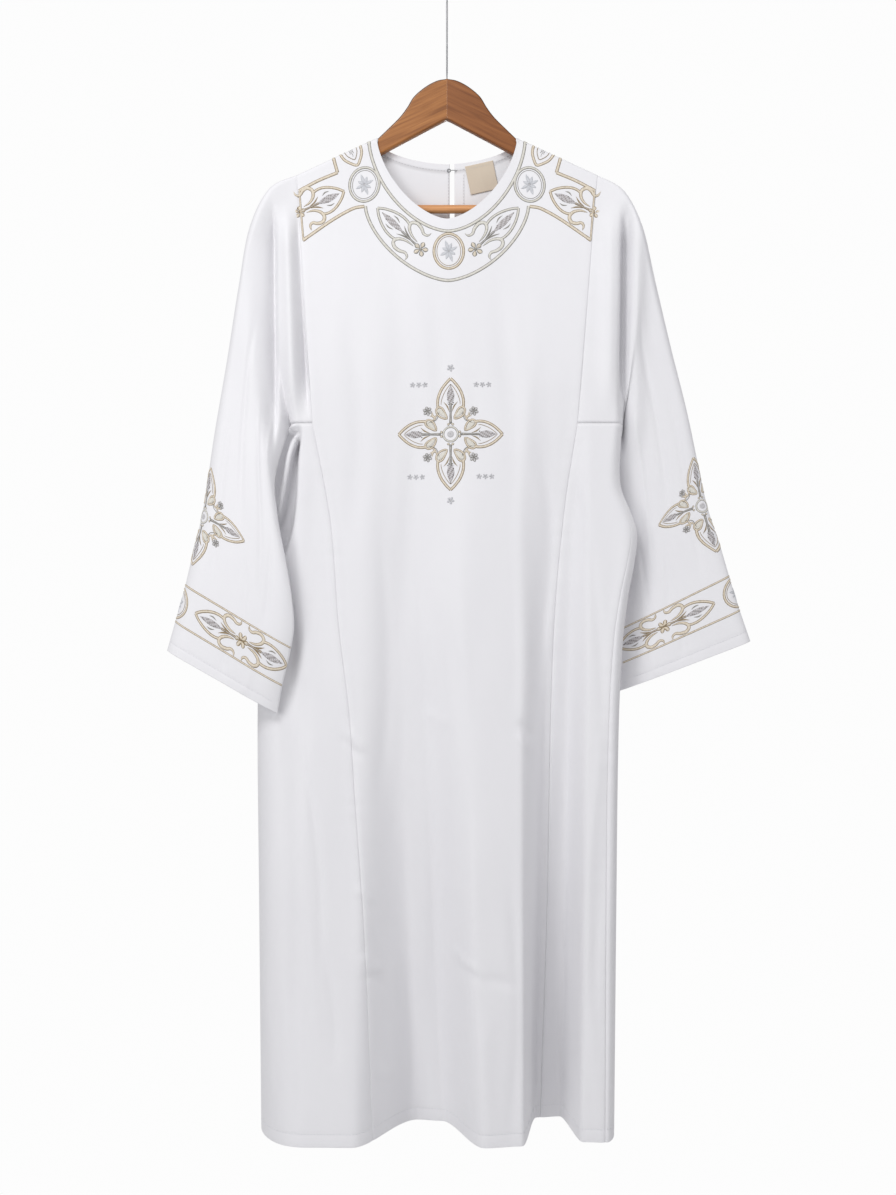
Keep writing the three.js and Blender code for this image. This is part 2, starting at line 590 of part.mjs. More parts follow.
// ---- The hanger ----
/** Outline of one wooden half as seen from the front, for side -1 or 1. */
function armShape(side) {
  const top = (x) => -(ridgeDrop(x) + WOOD_CLEARANCE);
  const corners = [
    [SEAM_GAP / 2, 0], [14, -2.6], [30, -11], [46, -24.5], [55.5, -39.5], [66, -53.5], [81, -68.5],
    [NECK_HALF, top(NECK_HALF)], [ARM_END - 12, top(ARM_END - 12)], [ARM_END - 3, top(ARM_END) - 2],
    [ARM_END, top(ARM_END) - 12], [ARM_END - 1, -ARM_END_DROP + 10], [ARM_END - 10, -ARM_END_DROP],
    [ARM_LOBE + 8, -ARM_END_DROP], [ARM_LOBE, -ARM_END_DROP + 8], [ARM_LOBE, -BAR_DROP + 12],
    [ARM_LOBE - 24, -146], [90, -103.7], [SEAM_GAP / 2, -56],
  ].map(([x, z]) => new THREE.Vector2(side * x, z));
  return new THREE.Shape(side < 0 ? corners.reverse() : corners);
}

function hangerArm(side) {
  const geometry = new THREE.ExtrudeGeometry(armShape(side), {
    depth: 2 * (WOOD_HALF - WOOD_CHAMFER),
    bevelThickness: WOOD_CHAMFER,
    bevelSize: WOOD_CHAMFER,
    bevelOffset: -WOOD_CHAMFER,
    bevelSegments: 1,
  });
  geometry.translate(0, 0, -(WOOD_HALF - WOOD_CHAMFER));
  geometry.rotateX(Math.PI / 2);
  return geometry;
}

function hangerBar() {
  const half = ARM_LOBE - SEAM_GAP;
  const geometry = new THREE.CylinderGeometry(BAR_RADIUS, BAR_RADIUS, 2 * half, BAR_SIDES);
  return geometry.rotateZ(Math.PI / 2);
}

/** The hook's wire: a straight stem out of the wood, then a question mark about the origin. */
function hangerHook() {
  const centre = -(HOOK_RADIUS - WIRE_RADIUS);
  const points = [];
  const foot = WOOD_TOP + SEAM_GAP;
  const neck = centre - HOOK_RADIUS - 6;
  for (const share of evenShares(5)) points.push(new THREE.Vector3(0, 0, lerp(foot, neck, share)));
  for (let degrees = -68; degrees <= 202; degrees += 18) {
    const angle = THREE.MathUtils.degToRad(degrees);
    points.push(new THREE.Vector3(
      HOOK_RADIUS * Math.cos(angle), 0, centre + HOOK_RADIUS * Math.sin(angle)));
  }
  return wireTube(points, WIRE_RADIUS, 8, HOOK_STEPS);
}

// ---- The whole object ----
const tunic = new THREE.Group();

const shared = sharedNormals(Object.values(panels));
const CROTCH = new THREE.Vector3(0, 0, -1);  // a sleeve's underside where it leaves the body
for (const [name, grid] of Object.entries(panels)) {
  const turned = (row) => (row >= grid.length - 2 ? TURNED_CLOTH : CLOTH);
  const isCrotch = (row, i) => (
    name.startsWith('sleeve') && row === GORE_COLUMNS && (i === 0 || i === grid[0].length - 1));
  const normalAt = (row, i) => (isCrotch(row, i) ? CROTCH : shared.get(pointKey(grid[row][i])));
  const slitColumn = grid[0].findIndex((point) => point.x === SLIT_RIGHT);
  const hasCell = (row, i) => name !== 'back' || row >= SLIT_ROWS || i !== slitColumn;
  tunic.add(named(name, wall(grid, normalAt, turned, hasCell), cloth));
}
tunic.add(named('label', labelGeometry(), labelCloth));
tunic.add(...claspParts());

const hanger = new THREE.Group();
hanger.position.z = WOOD_TOP;
hanger.add(named('hanger_arm_left', hangerArm(-1), wood));
hanger.add(named('hanger_arm_right', hangerArm(1), wood));
const bar = named('hanger_bar', hangerBar(), wood);
bar.position.z = -BAR_DROP;
hanger.add(bar);
tunic.add(hanger);
tunic.add(named('hanger_hook', hangerHook(), steel));

export default tunic;
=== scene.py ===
"""A coptic deacon's tunic on its wooden hanger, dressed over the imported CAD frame.

Sizes are millimetres until a mesh is made. x runs to the viewer's right, the front faces -Y, and a
"drop" is a height measured down from the top of the wood.
"""
import math

import bmesh
import bpy
import numpy as np
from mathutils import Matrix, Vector


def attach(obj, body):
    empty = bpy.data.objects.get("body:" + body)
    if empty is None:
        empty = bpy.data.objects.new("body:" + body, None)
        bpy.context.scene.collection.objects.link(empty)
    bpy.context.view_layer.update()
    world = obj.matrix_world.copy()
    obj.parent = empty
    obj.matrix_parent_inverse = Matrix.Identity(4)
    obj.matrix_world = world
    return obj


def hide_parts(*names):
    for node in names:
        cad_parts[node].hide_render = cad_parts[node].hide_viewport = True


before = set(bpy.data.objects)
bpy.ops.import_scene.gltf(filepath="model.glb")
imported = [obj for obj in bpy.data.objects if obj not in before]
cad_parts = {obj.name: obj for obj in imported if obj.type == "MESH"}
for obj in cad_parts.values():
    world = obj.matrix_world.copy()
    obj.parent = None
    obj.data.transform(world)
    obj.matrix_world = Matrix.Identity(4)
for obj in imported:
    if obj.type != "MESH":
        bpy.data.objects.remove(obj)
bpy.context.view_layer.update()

# ---- Sizes shared with the frame ----
WOOD_TOP = -160.0
NECK_HALF, NECK_DROP = 98.0, 82.0
SCOOP = {-1: (117.0, 1.6), 1: (33.0, 1.75)}
SHOULDER_SLOPE, SHOULDER_HALF = 0.463, 210.0
ARMPIT, HEM, FOLD_TOP = 484.0, 1462.0, 300.0
RIDGE_HALF, RIDGE_FALL, CHEST_FALL = 9.2, 5.0, 330.0
FULLNESS = {-1: 20.0, 1: 17.0}
SLIT_LEFT, SLIT_RIGHT, SLIT_END = 3.8, 10.6, 312.0
ATTACHED = 2.0
INNER_ROUNDING = 8
OUTER_ROUNDING = 22.0
GORE_REACH = 44.0
FOLDS_FROM = 0.2
CLOTH = 0.9
TURN_UP = 17.0
FRONT, BACK = -1, 1

# Long folds of a sheet: x at chest height, x at the hem, depth at the hem, starting drop, power.
FOLDS = {
    FRONT: [(-165, -185, -84, 600, 1.1), (-112, -128, -86, 350, 1.8), (-80, -42, 19, 250, 2.3),
            (-62, -8, 13, 250, 2.3), (12, 50, -87, 300, 1.4), (96, 101, -81, 300, 1.4),
            (152, 127, 27, 430, 1.05), (172, 160, 31, 430, 1.05), (204, 184, -67, 430, 1.2)],
    BACK: [(-180, -196, 72, 420, 1.2), (-110, -118, 46, 420, 1.2), (-35, -26, 86, 350, 1.3),
           (50, 62, 40, 420, 1.2), (150, 144, 90, 400, 1.2), (205, 204, 58, 420, 1.2)],
}
# Side edges of the body: drop, x, y, and the radii with which the front and back round into them.
EDGES = {
    FRONT: [(484, -218, 0, 14, 14), (500, -229, 1, 14, 15), (520, -239, 3, 14, 16), (560, -247, 4, 15, 16),
            (600, -252, 4, 17, 17), (650, -255, 3, 21, 18), (760, -260, 2, 29, 22),
            (880, -265, 4, 36, 26), (1150, -263, 6, 52, 34), (1462, -260, 8, 68, 42)],
    BACK: [(484, 245, 0, 14, 14), (510, 243, -2, 16, 20), (548, 241, -4, 18, 30), (575, 244, -4, 20, 34),
           (605, 256, -5, 22, 38), (634, 265, -5, 22, 38), (672, 262, -6, 20, 40), (721, 253, -6, 17, 41),
           (784, 245, -7, 15, 42), (900, 239, -8, 14, 44), (1150, 235, -12, 15, 46),
           (1462, 231, -18, 16, 48)],
}
LEFT_EDGE, RIGHT_EDGE = EDGES[FRONT], EDGES[BACK]
FRONT_SEAM_LEFT = [(484, -186), (620, -161), (763, -149), (885, -134), (1000, -126), (1190, -112),
                   (1462, -101)]
FRONT_SEAM_RIGHT = [(484, 180), (601, 163), (732, 151), (885, 145), (1150, 141), (1462, 132)]
BACK_SEAM_LEFT = [(484, -186), (700, -160), (1000, -140), (1462, -116)]
BACK_SEAM_RIGHT = [(484, 180), (700, 162), (1000, 144), (1462, 118)]
SEAMS = {FRONT: (FRONT_SEAM_LEFT, FRONT_SEAM_RIGHT), BACK: (BACK_SEAM_LEFT, BACK_SEAM_RIGHT)}
SIDE_SEAM_SHIFT = [(484, 0), (700, 14), (1000, 18), (1462, 17)]

# Stations of a sleeve: inner x, drop, y, outer x, drop, y, and half its depth.
LEFT_SLEEVE = [
    (-186, 484, 0, -210, 134, 0, 27), (-204, 484, 0, -248, 153, 0, 24),
    (-218, 484, 0, -276, 207, 0, 21), (-235.5, 555, -34, -291, 290, -2, 17),
    (-231, 613, -49, -307, 395, -6, 14), (-219, 673, -58, -323, 495, -12, 15),
    (-210.5, 722, -62, -338, 601, -18, 16), (-207.5, 764, -63, -352, 664, -22, 16),
    (-212.5, 798, -62, -363, 713, -24, 16), (-223.5, 844, -60, -375, 757, -26, 15),
    (-230.5, 882, -56, -386, 797, -28, 15)]
RIGHT_SLEEVE = [
    (180, 484, 0, 210, 134, 0, 27), (214, 484, 0, 247, 156, 0, 24),
    (245, 484, 0, 273, 207, 0, 21), (233, 552, 16, 293, 290, 0, 17),
    (246, 606, 22, 314, 378, 0, 14), (250, 660, 25, 337, 470, 0, 13),
    (248, 704, 26, 362, 588, 0, 12), (245, 738, 26, 383, 655, -1, 12),
    (243, 776, 25, 396, 700, -2, 13), (241, 820, 24, 409, 742, -3, 14),
    (243, 857, 23, 423.5, 785, -4, 15)]
CUFF_STATION = len(LEFT_SLEEVE) - 1
CUFF_STITCH = CUFF_STATION - 0.40
# Upright folds of a sleeve: x at the shoulder, x at the armpit, reach to the left and right, how squarely
# the left side falls, depth, sheet.
LEFT_SLEEVE_FOLDS = [(-222, -212, 10, 11, 2, -12, FRONT), (-243, -240, 13, 5, 1, 20, FRONT),
                     (-197, -191, 10, 5, 2, 17, FRONT), (-238, -238, 12, 12, 2, -12, BACK)]
RIGHT_SLEEVE_FOLDS = [(251, 245, 8, 4.5, 4, 26, FRONT), (228, 224, 12, 9, 2, -6, FRONT),
                      (264, 264, 7, 12, 2, -6, FRONT), (240, 238, 12, 12, 2, -12, BACK)]
SLEEVE_FOLD_TOP, SLEEVE_FOLD_END, SLEEVE_FOLD_FADE = 170.0, 540.0, 70.0
# Below the left armpit the front gore folds back behind the sleeve, as (drop, x) of the fold; in the
# shaded recess hangs the rolled underarm seam, as (drop, x) of its middle.
UNDERARM_FOLD = [(484, -197), (532, -203), (588, -206), (630, -211.5), (666, -224), (720, -252)]
UNDERARM_ROLL = [(484, -190), (503, -209), (524, -218), (556, -224), (599, -233), (640, -246)]
RECESS_Y, RECESS_EDGE, ROLL_HALF, ROLL_HEIGHT = 5.0, 7.0, 5.4, 22.0

# ---- Finer creases ----
# From (x, drop) to (x, drop), half width, and height: outward is positive, a trough is negative.
CREASES = {
    FRONT: [
        (-136, 330, -128, 640, 17, -2.6), (-24, 300, -14, 560, 16, -2.2), (-76, 250, -70, 820, 22, -3.2),
        (-52, 420, -46, 1150, 15, 1.6), (30, 560, 34, 1240, 22, 1.8), (70, 300, 92, 900, 15, -1.9),
        (118, 380, 128, 980, 11, 1.6), (-186, 900, -170, 1330, 9, 1.7), (-202, 920, -172, 1220, 5, -1.8),
        (-172, 1180, -149, 1350, 6, -1.6), (-222, 760, -214, 1380, 16, -2.2),
        (-240, 1060, -232, 1440, 12, 1.8),
        (8, 1208, 60, 1240, 7, 2.0), (20, 1230, 92, 1252, 8, -1.7), (98, 894, 118, 920, 6, -2.0),
        (96, 912, 114, 934, 5, 1.3), (-134, 905, -112, 934, 6, 1.6), (-146, 916, -118, 946, 5, -1.3),
        (-122, 1118, -98, 1142, 6, 1.5), (-116, 1212, -88, 1238, 7, 1.7), (-112, 1236, -86, 1262, 5, -1.2),
        (-98, 1366, -72, 1392, 7, 1.5), (-92, 640, -96, 1010, 10, -1.5), (6, 760, 14, 1180, 12, -1.5),
        (150, 700, 140, 1120, 6, 1.3), (196, 640, 190, 1330, 7, -1.6), (214, 900, 208, 1440, 6, 1.5),
        (-236, 560, -214, 900, 10, -2.0), (-196, 520, -184, 860, 13, 2.0), (-212, 1210, -206, 1452, 9, -1.8),
        (-60, 1240, -54, 1450, 9, -1.6), (52, 1290, 60, 1452, 10, 1.5), (86, 1120, 84, 1452, 8, -1.6),
        (176, 560, 182, 700, 7, -1.7), (128, 520, 146, 760, 9, -1.4), (-30, 880, 4, 900, 9, 0.9),
    ],
    BACK: [
        (-150, 320, -138, 820, 17, -2.4), (-92, 280, -86, 760, 14, 1.8), (-52, 300, -60, 1180, 20, -2.6),
        (-8, 420, 4, 1360, 15, 1.6), (40, 260, 46, 900, 13, -2.0), (92, 320, 84, 1240, 21, -2.8),
        (128, 300, 134, 740, 12, 1.7), (168, 520, 172, 1180, 13, -2.0), (196, 700, 190, 1440, 10, 1.8),
        (-200, 600, -196, 1300, 12, -2.2), (-222, 900, -214, 1440, 9, 1.7), (-124, 980, -130, 1440, 9, -1.7),
        (-70, 1180, -30, 1204, 8, 1.6), (66, 1010, 104, 1032, 7, -1.6), (112, 1290, 146, 1312, 8, 1.5),
        (-162, 780, -140, 806, 6, 1.3), (150, 880, 128, 904, 6, -1.4), (18, 1160, 26, 1452, 9, -1.6),
    ],
}
# Creases of the sleeves, in (station, share of the way in from the outer fold): half width, height.
SLEEVE_CREASES = {
    FRONT: [(2.6, 0.35, 5.6, 0.42, 11, -2.2), (3.2, 0.62, 6.6, 0.66, 9, 1.8), (4.4, 0.18, 7.4, 0.24, 9, -1.5),
            (5.2, 0.80, 7.6, 0.74, 7, -1.7), (8.2, 0.45, 9.7, 0.52, 8, -1.4), (8.8, 0.72, 10.0, 0.70, 8, 1.2),
            (6.2, 0.52, 8.4, 0.60, 7, -1.0), (2.0, 0.78, 3.4, 0.84, 8, 1.6)],
    BACK: [(2.4, 0.40, 5.8, 0.36, 12, -2.2), (3.6, 0.66, 7.0, 0.60, 9, 1.7), (5.4, 0.22, 8.6, 0.26, 9, -1.6),
           (7.6, 0.56, 9.8, 0.60, 8, 1.3), (4.8, 0.84, 7.0, 0.80, 7, -1.4)],
}


# ---- Small numeric helpers ----
def lerp(a, b, t):
    return a + (b - a) * t


def smooth(x, low, high):
    t = np.clip((x - low) / (high - low), 0.0, 1.0)
    return t * t * (3.0 - 2.0 * t)


def quarter(share):
    return np.sqrt(np.maximum(0.0, 1.0 - (1.0 - np.clip(share, 0.0, 1.0)) ** 2))


def cubic(start, end, slope_start, slope_end, t):
    rise = end - start
    bend = 3.0 * rise - 2.0 * slope_start - slope_end
    twist = slope_start + slope_end - 2.0 * rise
    return start + t * (slope_start + t * (bend + t * twist))


def column(table, index, drop):
    """A column of a table at each drop, on a smooth curve through its rows."""
    rows = np.array([row[0] for row in table], float)
    values = np.array([row[index] for row in table], float)
    before = np.maximum(np.arange(len(rows)) - 1, 0)
    after = np.minimum(np.arange(len(rows)) + 1, len(rows) - 1)
    steepness = (values[after] - values[before]) / (rows[after] - rows[before])
    at = np.clip(np.asarray(drop, float), rows[0], rows[-1])
    row = np.clip(np.searchsorted(rows, at, side="left") - 1, 0, len(rows) - 2)
    span = rows[row + 1] - rows[row]
    return cubic(values[row], values[row + 1], steepness[row] * span, steepness[row + 1] * span,
                 (at - rows[row]) / span)


def station_value(stations, index, at):
    """A smooth curve through evenly numbered stations, read at fractional numbers."""
    values = np.array([station[index] for station in stations], float)
    last = len(values) - 1
    at = np.asarray(at, float)
    start = np.clip(np.floor(at).astype(int), 0, last - 1)

    def slope(i):
        return (values[np.minimum(i + 1, last)] - values[np.maximum(i - 1, 0)]) / 2.0

    return cubic(values[start], values[start + 1], slope(start), slope(start + 1), at - start)


def value_noise(u, v, seed):
    """Smooth noise of unit period in both directions, from -1 to 1."""
    lattice = np.random.default_rng(seed).uniform(-1.0, 1.0, (64, 64))
    iu, iv = np.floor(u).astype(int), np.floor(v).astype(int)
    fu, fv = smooth(u - iu, 0.0, 1.0), smooth(v - iv, 0.0, 1.0)
    corner = [[lattice[(iu + a) % 64, (iv + b) % 64] for b in (0, 1)] for a in (0, 1)]
    return lerp(lerp(corner[0][0], corner[1][0], fu), lerp(corner[0][1], corner[1][1], fu), fv)


def resample(points, shares):
    """Points at the given shares of the length along a row of close points."""
    steps = np.linalg.norm(np.diff(points, axis=0), axis=1)
    along = np.concatenate([[0.0], np.cumsum(steps)]) / steps.sum()
    return np.stack([np.interp(shares, along, points[:, i]) for i in range(3)], axis=1)


def crease_height(x, y, creases):
    """Height of a table of soft creases at each place."""
    total = np.zeros_like(x)
    for x0, y0, x1, y1, width, height in creases:
        length = math.hypot(x1 - x0, y1 - y0)
        ux, uy = (x1 - x0) / length, (y1 - y0) / length
        along = ((x - x0) * ux + (y - y0) * uy) / length
        bow = 0.035 * length * np.sin(math.pi * np.clip(along, 0.0, 1.0)) * (1 if height > 0 else -1)
        across = (x - x0) * -uy + (y - y0) * ux - bow
        fade = smooth(along, -0.12, 0.25) * (1.0 - smooth(along, 0.72, 1.12))
        total += height * fade * np.exp(-(across / width) ** 2)
    return total


# ---- The body's two sheets ----
def ridge_drop(x):
    return NECK_DROP + (np.abs(x) - NECK_HALF) * SHOULDER_SLOPE


def neck_drop(x, sheet):
    scoop, power = SCOOP[sheet]
    inside = np.maximum(1.0 - np.minimum(np.abs(x) / NECK_HALF, 1.0) ** power, 0.0)
    return NECK_DROP + scoop * inside ** (1.0 / power)


def top_drop(x, sheet):
    return np.where(np.abs(x) < NECK_HALF, neck_drop(x, sheet), ridge_drop(x))


def falling_depth(below, fullness):
    return RIDGE_HALF * quarter(below / RIDGE_FALL) + fullness * smooth(below, 0.0, CHEST_FALL)


SEAM_PUCKER = 0.55
ARMHOLE_RELIEF = 0.7
UNDERARM_RELIEF = 0.4
CREASE_GAIN = 1.3
PUCKER_REACH = 13.0


def seam_relief(distance, along, seed):
    """A seam: a fine groove, with short puckers on both sides of it."""
    groove = -0.75 * np.exp(-(distance / 1.5) ** 2)
    away = np.abs(distance)
    wave = value_noise(along / 9.0, np.full_like(along, 0.5), seed) * np.exp(-away / PUCKER_REACH)
    swell = 0.5 * np.exp(-((away - 6.0) / 4.0) ** 2)
    return groove + SEAM_PUCKER * wave + swell


def body_relief(sheet, x, drop):
    """Fine height of the body's cloth outside its main folds."""
    loose = smooth(drop, 250.0, 420.0)
    low = value_noise(x / 46.0 + 3.0, drop / 210.0, 11 + sheet) * 1.1 * loose
    ripple = value_noise(x / 19.0 + 7.0, drop / 120.0, 21 + sheet) * 0.45 * loose
    relief = low + ripple + CREASE_GAIN * crease_height(x, drop, CREASES[sheet])
    below = smooth(drop, ARMPIT - 12.0, ARMPIT + 20.0)
    for seed, seam in enumerate(SEAMS[sheet], 31 if sheet == FRONT else 33):
        relief = relief + below * seam_relief(x - column(seam, 1, drop), drop, seed)
    for side in (-1, 1):
        armhole = seam_relief(x - armhole_x(side, drop), drop, 36 + side)
        relief = relief + ARMHOLE_RELIEF * (1.0 - below) * armhole
    if sheet == FRONT:
        from_side_seam = x - (column(RIGHT_EDGE, 1, drop) - column(SIDE_SEAM_SHIFT, 1, drop))
        relief = relief + smooth(drop, 620.0, 760.0) * seam_relief(from_side_seam, drop, 35)
    above_stitches = HEM - TURN_UP - drop
    return relief - 0.45 * np.exp(-(above_stitches / 2.0) ** 2) - 0.35 * smooth(drop, HEM - 4.0, HEM)


def sheet_depth(sheet, x, drop):
    """Depth of a sheet with its long folds, which open toward the hem."""
    plain = sheet * falling_depth(drop - ridge_drop(x), FULLNESS[sheet])
    down = np.clip((drop - FOLD_TOP) / (HEM - FOLD_TOP), 0.0, 1.0)
    at, depth = [], []
    for chest, hem, deep, start, power in FOLDS[sheet]:
        opened = np.clip((drop - start) / (HEM - start), 0.0, 1.0) ** power
        at.append(lerp(chest, hem, down))
        depth.append(lerp(plain, deep, opened))
    y = depth[0]
    for k in range(1, len(at)):
        y = np.where(x > at[k - 1], lerp(depth[k - 1], depth[k], smooth(x, at[k - 1], at[k])), y)
    return y


def underarm_recess(x, drop, y):
    """Sets the front back behind the left sleeve, with the rolled seam hanging in the recess."""
    shown = smooth(drop, ARMPIT + 2.0, ARMPIT + 15.0) * (1.0 - smooth(drop, 690.0, 730.0))
    behind = shown * smooth(column(UNDERARM_FOLD, 1, drop) - x, 0.0, RECESS_EDGE)
    step = 4.0
    middle = column(UNDERARM_ROLL, 1, drop)
    lean = (column(UNDERARM_ROLL, 1, drop + step) - column(UNDERARM_ROLL, 1, drop - step)) / (2.0 * step)
    away = (x - middle) / np.sqrt(1.0 + lean ** 2)
    roll = ROLL_HEIGHT * np.exp(-(away / ROLL_HALF) ** 4) * (1.0 - smooth(drop, 600.0, 640.0))
    return lerp(y, RECESS_Y - roll, behind)


def body_y(sheet, x, drop):
    """Depth of the body's front or back sheet, with every fold and the rounded side edges."""
    near_top = smooth(drop - top_drop(x, sheet), 0.0, 30.0)
    y = sheet_depth(sheet, x, drop) + sheet * near_top * body_relief(sheet, x, drop)
    if sheet == FRONT:
        y = underarm_recess(x, drop, y)
    radius = 3 if sheet == FRONT else 4
    for table, side in ((LEFT_EDGE, -1), (RIGHT_EDGE, 1)):
        inside = side * (column(table, 1, drop) - x) / column(table, radius, drop)
        rounded = lerp(column(table, 2, drop), y, quarter(inside))
        y = np.where((drop >= ARMPIT) & (inside < 1.0), rounded, y)
    return y


def place(x, y, drop):
    height = WOOD_TOP - np.asarray(drop, float)
    return np.stack(np.broadcast_arrays(np.asarray(x, float), y, height), axis=-1)


def body_point(sheet, x, drop):
    x, drop = np.broadcast_arrays(np.asarray(x, float), np.asarray(drop, float))
    return place(x, body_y(sheet, x, drop), drop)


def armhole_x(side, drop):
    """The armhole seam runs straight from the shoulder to the top of the front seam."""
    top_x = side * SHOULDER_HALF
    low = SEAMS[FRONT][0 if side < 0 else 1][0][1]
    return lerp(top_x, low, (drop - ridge_drop(top_x)) / (ARMPIT - ridge_drop(top_x)))


# ---- Rows and columns of the panels ----
CELL = 4.8
SEAM_STEPS = (1.1, 2.4, 4.4)


def crowded(length, cell, start=True, end=True):
    """Shares of a length in even cells, with finer ones beside the seams at its ends."""
    near = [step / length for step in SEAM_STEPS]
    low = near if start else []
    high = [1.0 - step for step in reversed(near)] if end else []
    first, last = (low[-1] if start else 0.0), (high[0] if end else 1.0)
    count = max(2, round((last - first) * length / cell))
    middle = np.linspace(first, last, count + 1)[(1 if start else 0):(-1 if end else None)]
    return np.array(([0.0] if start else []) + low + list(middle) + high + ([1.0] if end else []))


UPPER_TOP = np.array([0.0, 0.0016, 0.0045, 0.009, 0.016, 0.026, 0.0285, 0.04])
FACING_ROWS = 6
UPPER_SHARES = np.concatenate([UPPER_TOP, lerp(0.04, 1.0, np.linspace(0, 1, round(330 / CELL) + 1)[1:])])
HEM_ROWS = [HEM - TURN_UP - 4.0, HEM - TURN_UP - 1.6, HEM - TURN_UP, HEM - TURN_UP + 1.6,
            HEM - TURN_UP + 4.0, HEM - 8.0, HEM - 4.0, HEM - 1.6, HEM - 0.6, HEM]
LOWER_DROPS = np.concatenate([
    np.linspace(ARMPIT, HEM - TURN_UP - 8.0, round((HEM - ARMPIT) / CELL) + 1), HEM_ROWS])


def top_columns(sheet, slit):
    """The x of each column of a centre panel's top edge, from left to right."""
    power = SCOOP[sheet][1]
    shoulder = lerp(SHOULDER_HALF, NECK_HALF, crowded(SHOULDER_HALF - NECK_HALF, CELL, True, False))
    count = round((150 if sheet == FRONT else 104) / CELL)
    angles = np.linspace(0.0, 1.0, count + 1)[1:] ** 1.25 * math.pi / 2
    neck = NECK_HALF * np.maximum(np.cos(angles), 0.0) ** (2.0 / power)
    half = np.concatenate([shoulder, neck])
    half[-1] = 0.0
    if not slit:
        return np.concatenate([-half, half[-2::-1]])
    left = half[half > SLIT_RIGHT + 6.0]
    right = np.concatenate([[SLIT_RIGHT, SLIT_RIGHT + 1.6, SLIT_RIGHT + 4.0], left[::-1]])
    left_low = half[half > -SLIT_LEFT + 6.0]
    return np.concatenate([-left_low, [SLIT_LEFT - 4.0, SLIT_LEFT - 1.6, SLIT_LEFT], right])


def centre_panel(sheet, slit=False):
    """Points of a centre panel, from left to right, and the column at the slit's left side."""
    top_x = top_columns(sheet, slit)
    left, right = SEAMS[sheet]
    left_top, right_top = left[0][1], right[0][1]
    count = len(top_x)
    shares = crowded(right_top - left_top, (right_top - left_top) / count)
    shares = np.interp(np.linspace(0, 1, count), np.linspace(0, 1, len(shares)), shares)
    armpit_x = lerp(left_top, right_top, shares)
    slit_column = int(np.argmin(np.abs(top_x - SLIT_LEFT))) if slit else None
    if slit:
        low = np.interp(np.arange(slit_column + 1), [0, slit_column], [left_top, SLIT_LEFT])
        high = np.interp(np.arange(count - slit_column - 1), [0, count - slit_column - 2],
                         [SLIT_RIGHT, right_top])
        armpit_x = np.concatenate([low, high])
        near = [slit_column - 2, slit_column - 1, slit_column + 2, slit_column + 3]
        armpit_x[near] = [SLIT_LEFT - 4.0, SLIT_LEFT - 1.6, SLIT_RIGHT + 1.6, SLIT_RIGHT + 4.0]
        shares = (armpit_x - left_top) / (right_top - left_top)
    rows = []
    for share in UPPER_SHARES:
        drop = lerp(top_drop(top_x, sheet), ARMPIT, share)
        x = lerp(top_x, armpit_x, share)
        x[0], x[-1] = armhole_x(-1, drop[0]), armhole_x(1, drop[-1])
        rows.append(body_point(sheet, x, drop))
    for drop in LOWER_DROPS[1:]:
        path = sheet_path(sheet, column(left, 1, drop), column(right, 1, drop), drop, None)
        rows.append(resample(path, shares))
    return np.array(rows), slit_column


def sheet_path(sheet, start, end, drop, edge_at):
    """Close points along a sheet between two x, crowded at the end that lies on a side edge."""
    share = np.linspace(0.0, 1.0, 181)
    if edge_at == "start":
        share = 1.0 - np.cos(share * math.pi / 2)
    if edge_at == "end":
        share = np.sin(share * math.pi / 2)
    return body_point(sheet, lerp(start, end, share), np.full(share.shape, float(drop)))


def gore(stretches, width):
    """Points of a gore from rows of paths, each a list of (sheet, start, end, edge) stretches."""
    shares = crowded(width, CELL)
    rows = []
    for drop in LOWER_DROPS:
        parts = [sheet_path(sheet, start, end, drop, edge) for sheet, start, end, edge in stretches(drop)]
        path = np.concatenate([parts[0]] + [part[1:] for part in parts[1:]])
        rows.append(resample(path, shares))
    return np.array(rows)


def table_x(table, drop):
    return float(column(table, 1, drop))


def side_seam_x(drop):
    return table_x(RIGHT_EDGE, drop) - table_x(SIDE_SEAM_SHIFT, drop)


def back_right_stretches(drop):
    """The right back gore comes round the side edge to the seam on the front."""
    edge_x = table_x(RIGHT_EDGE, drop)
    back = (BACK, edge_x, table_x(BACK_SEAM_RIGHT, drop), "start")
    if edge_x - side_seam_x(drop) < 0.01:
        return [back]
    return [(FRONT, side_seam_x(drop), edge_x, "end"), back]


# ---- Sleeves ----
# Millimetres from one station to the next: for the creases, along the underarm, and at the cuff.
CREASE_STEP, UNDERARM_STEP, CUFF_STEP = 55.0, 36.0, 44.0
SLEEVE_WIDTH = 260.0


def sleeve_fold_depth(folds, sheet, x, drop):
    """Depth of a sleeve's upright folds, between the shoulder and the armpit."""
    opened = smooth(drop, SLEEVE_FOLD_TOP, SLEEVE_FOLD_TOP + SLEEVE_FOLD_FADE) * (
        1.0 - smooth(drop, SLEEVE_FOLD_END - SLEEVE_FOLD_FADE, SLEEVE_FOLD_END))
    down = (drop - SLEEVE_FOLD_TOP) / (ARMPIT - SLEEVE_FOLD_TOP)
    total = np.zeros_like(x)
    for top, low, reach_left, reach_right, power, depth, on_sheet in folds:
        if on_sheet == sheet:
            away = x - lerp(top, low, down)
            share = np.abs(away) / np.where(away < 0.0, reach_left, reach_right)
            total += opened * depth * np.exp(-np.where(away < 0.0, share ** power, share ** 2))
    return total


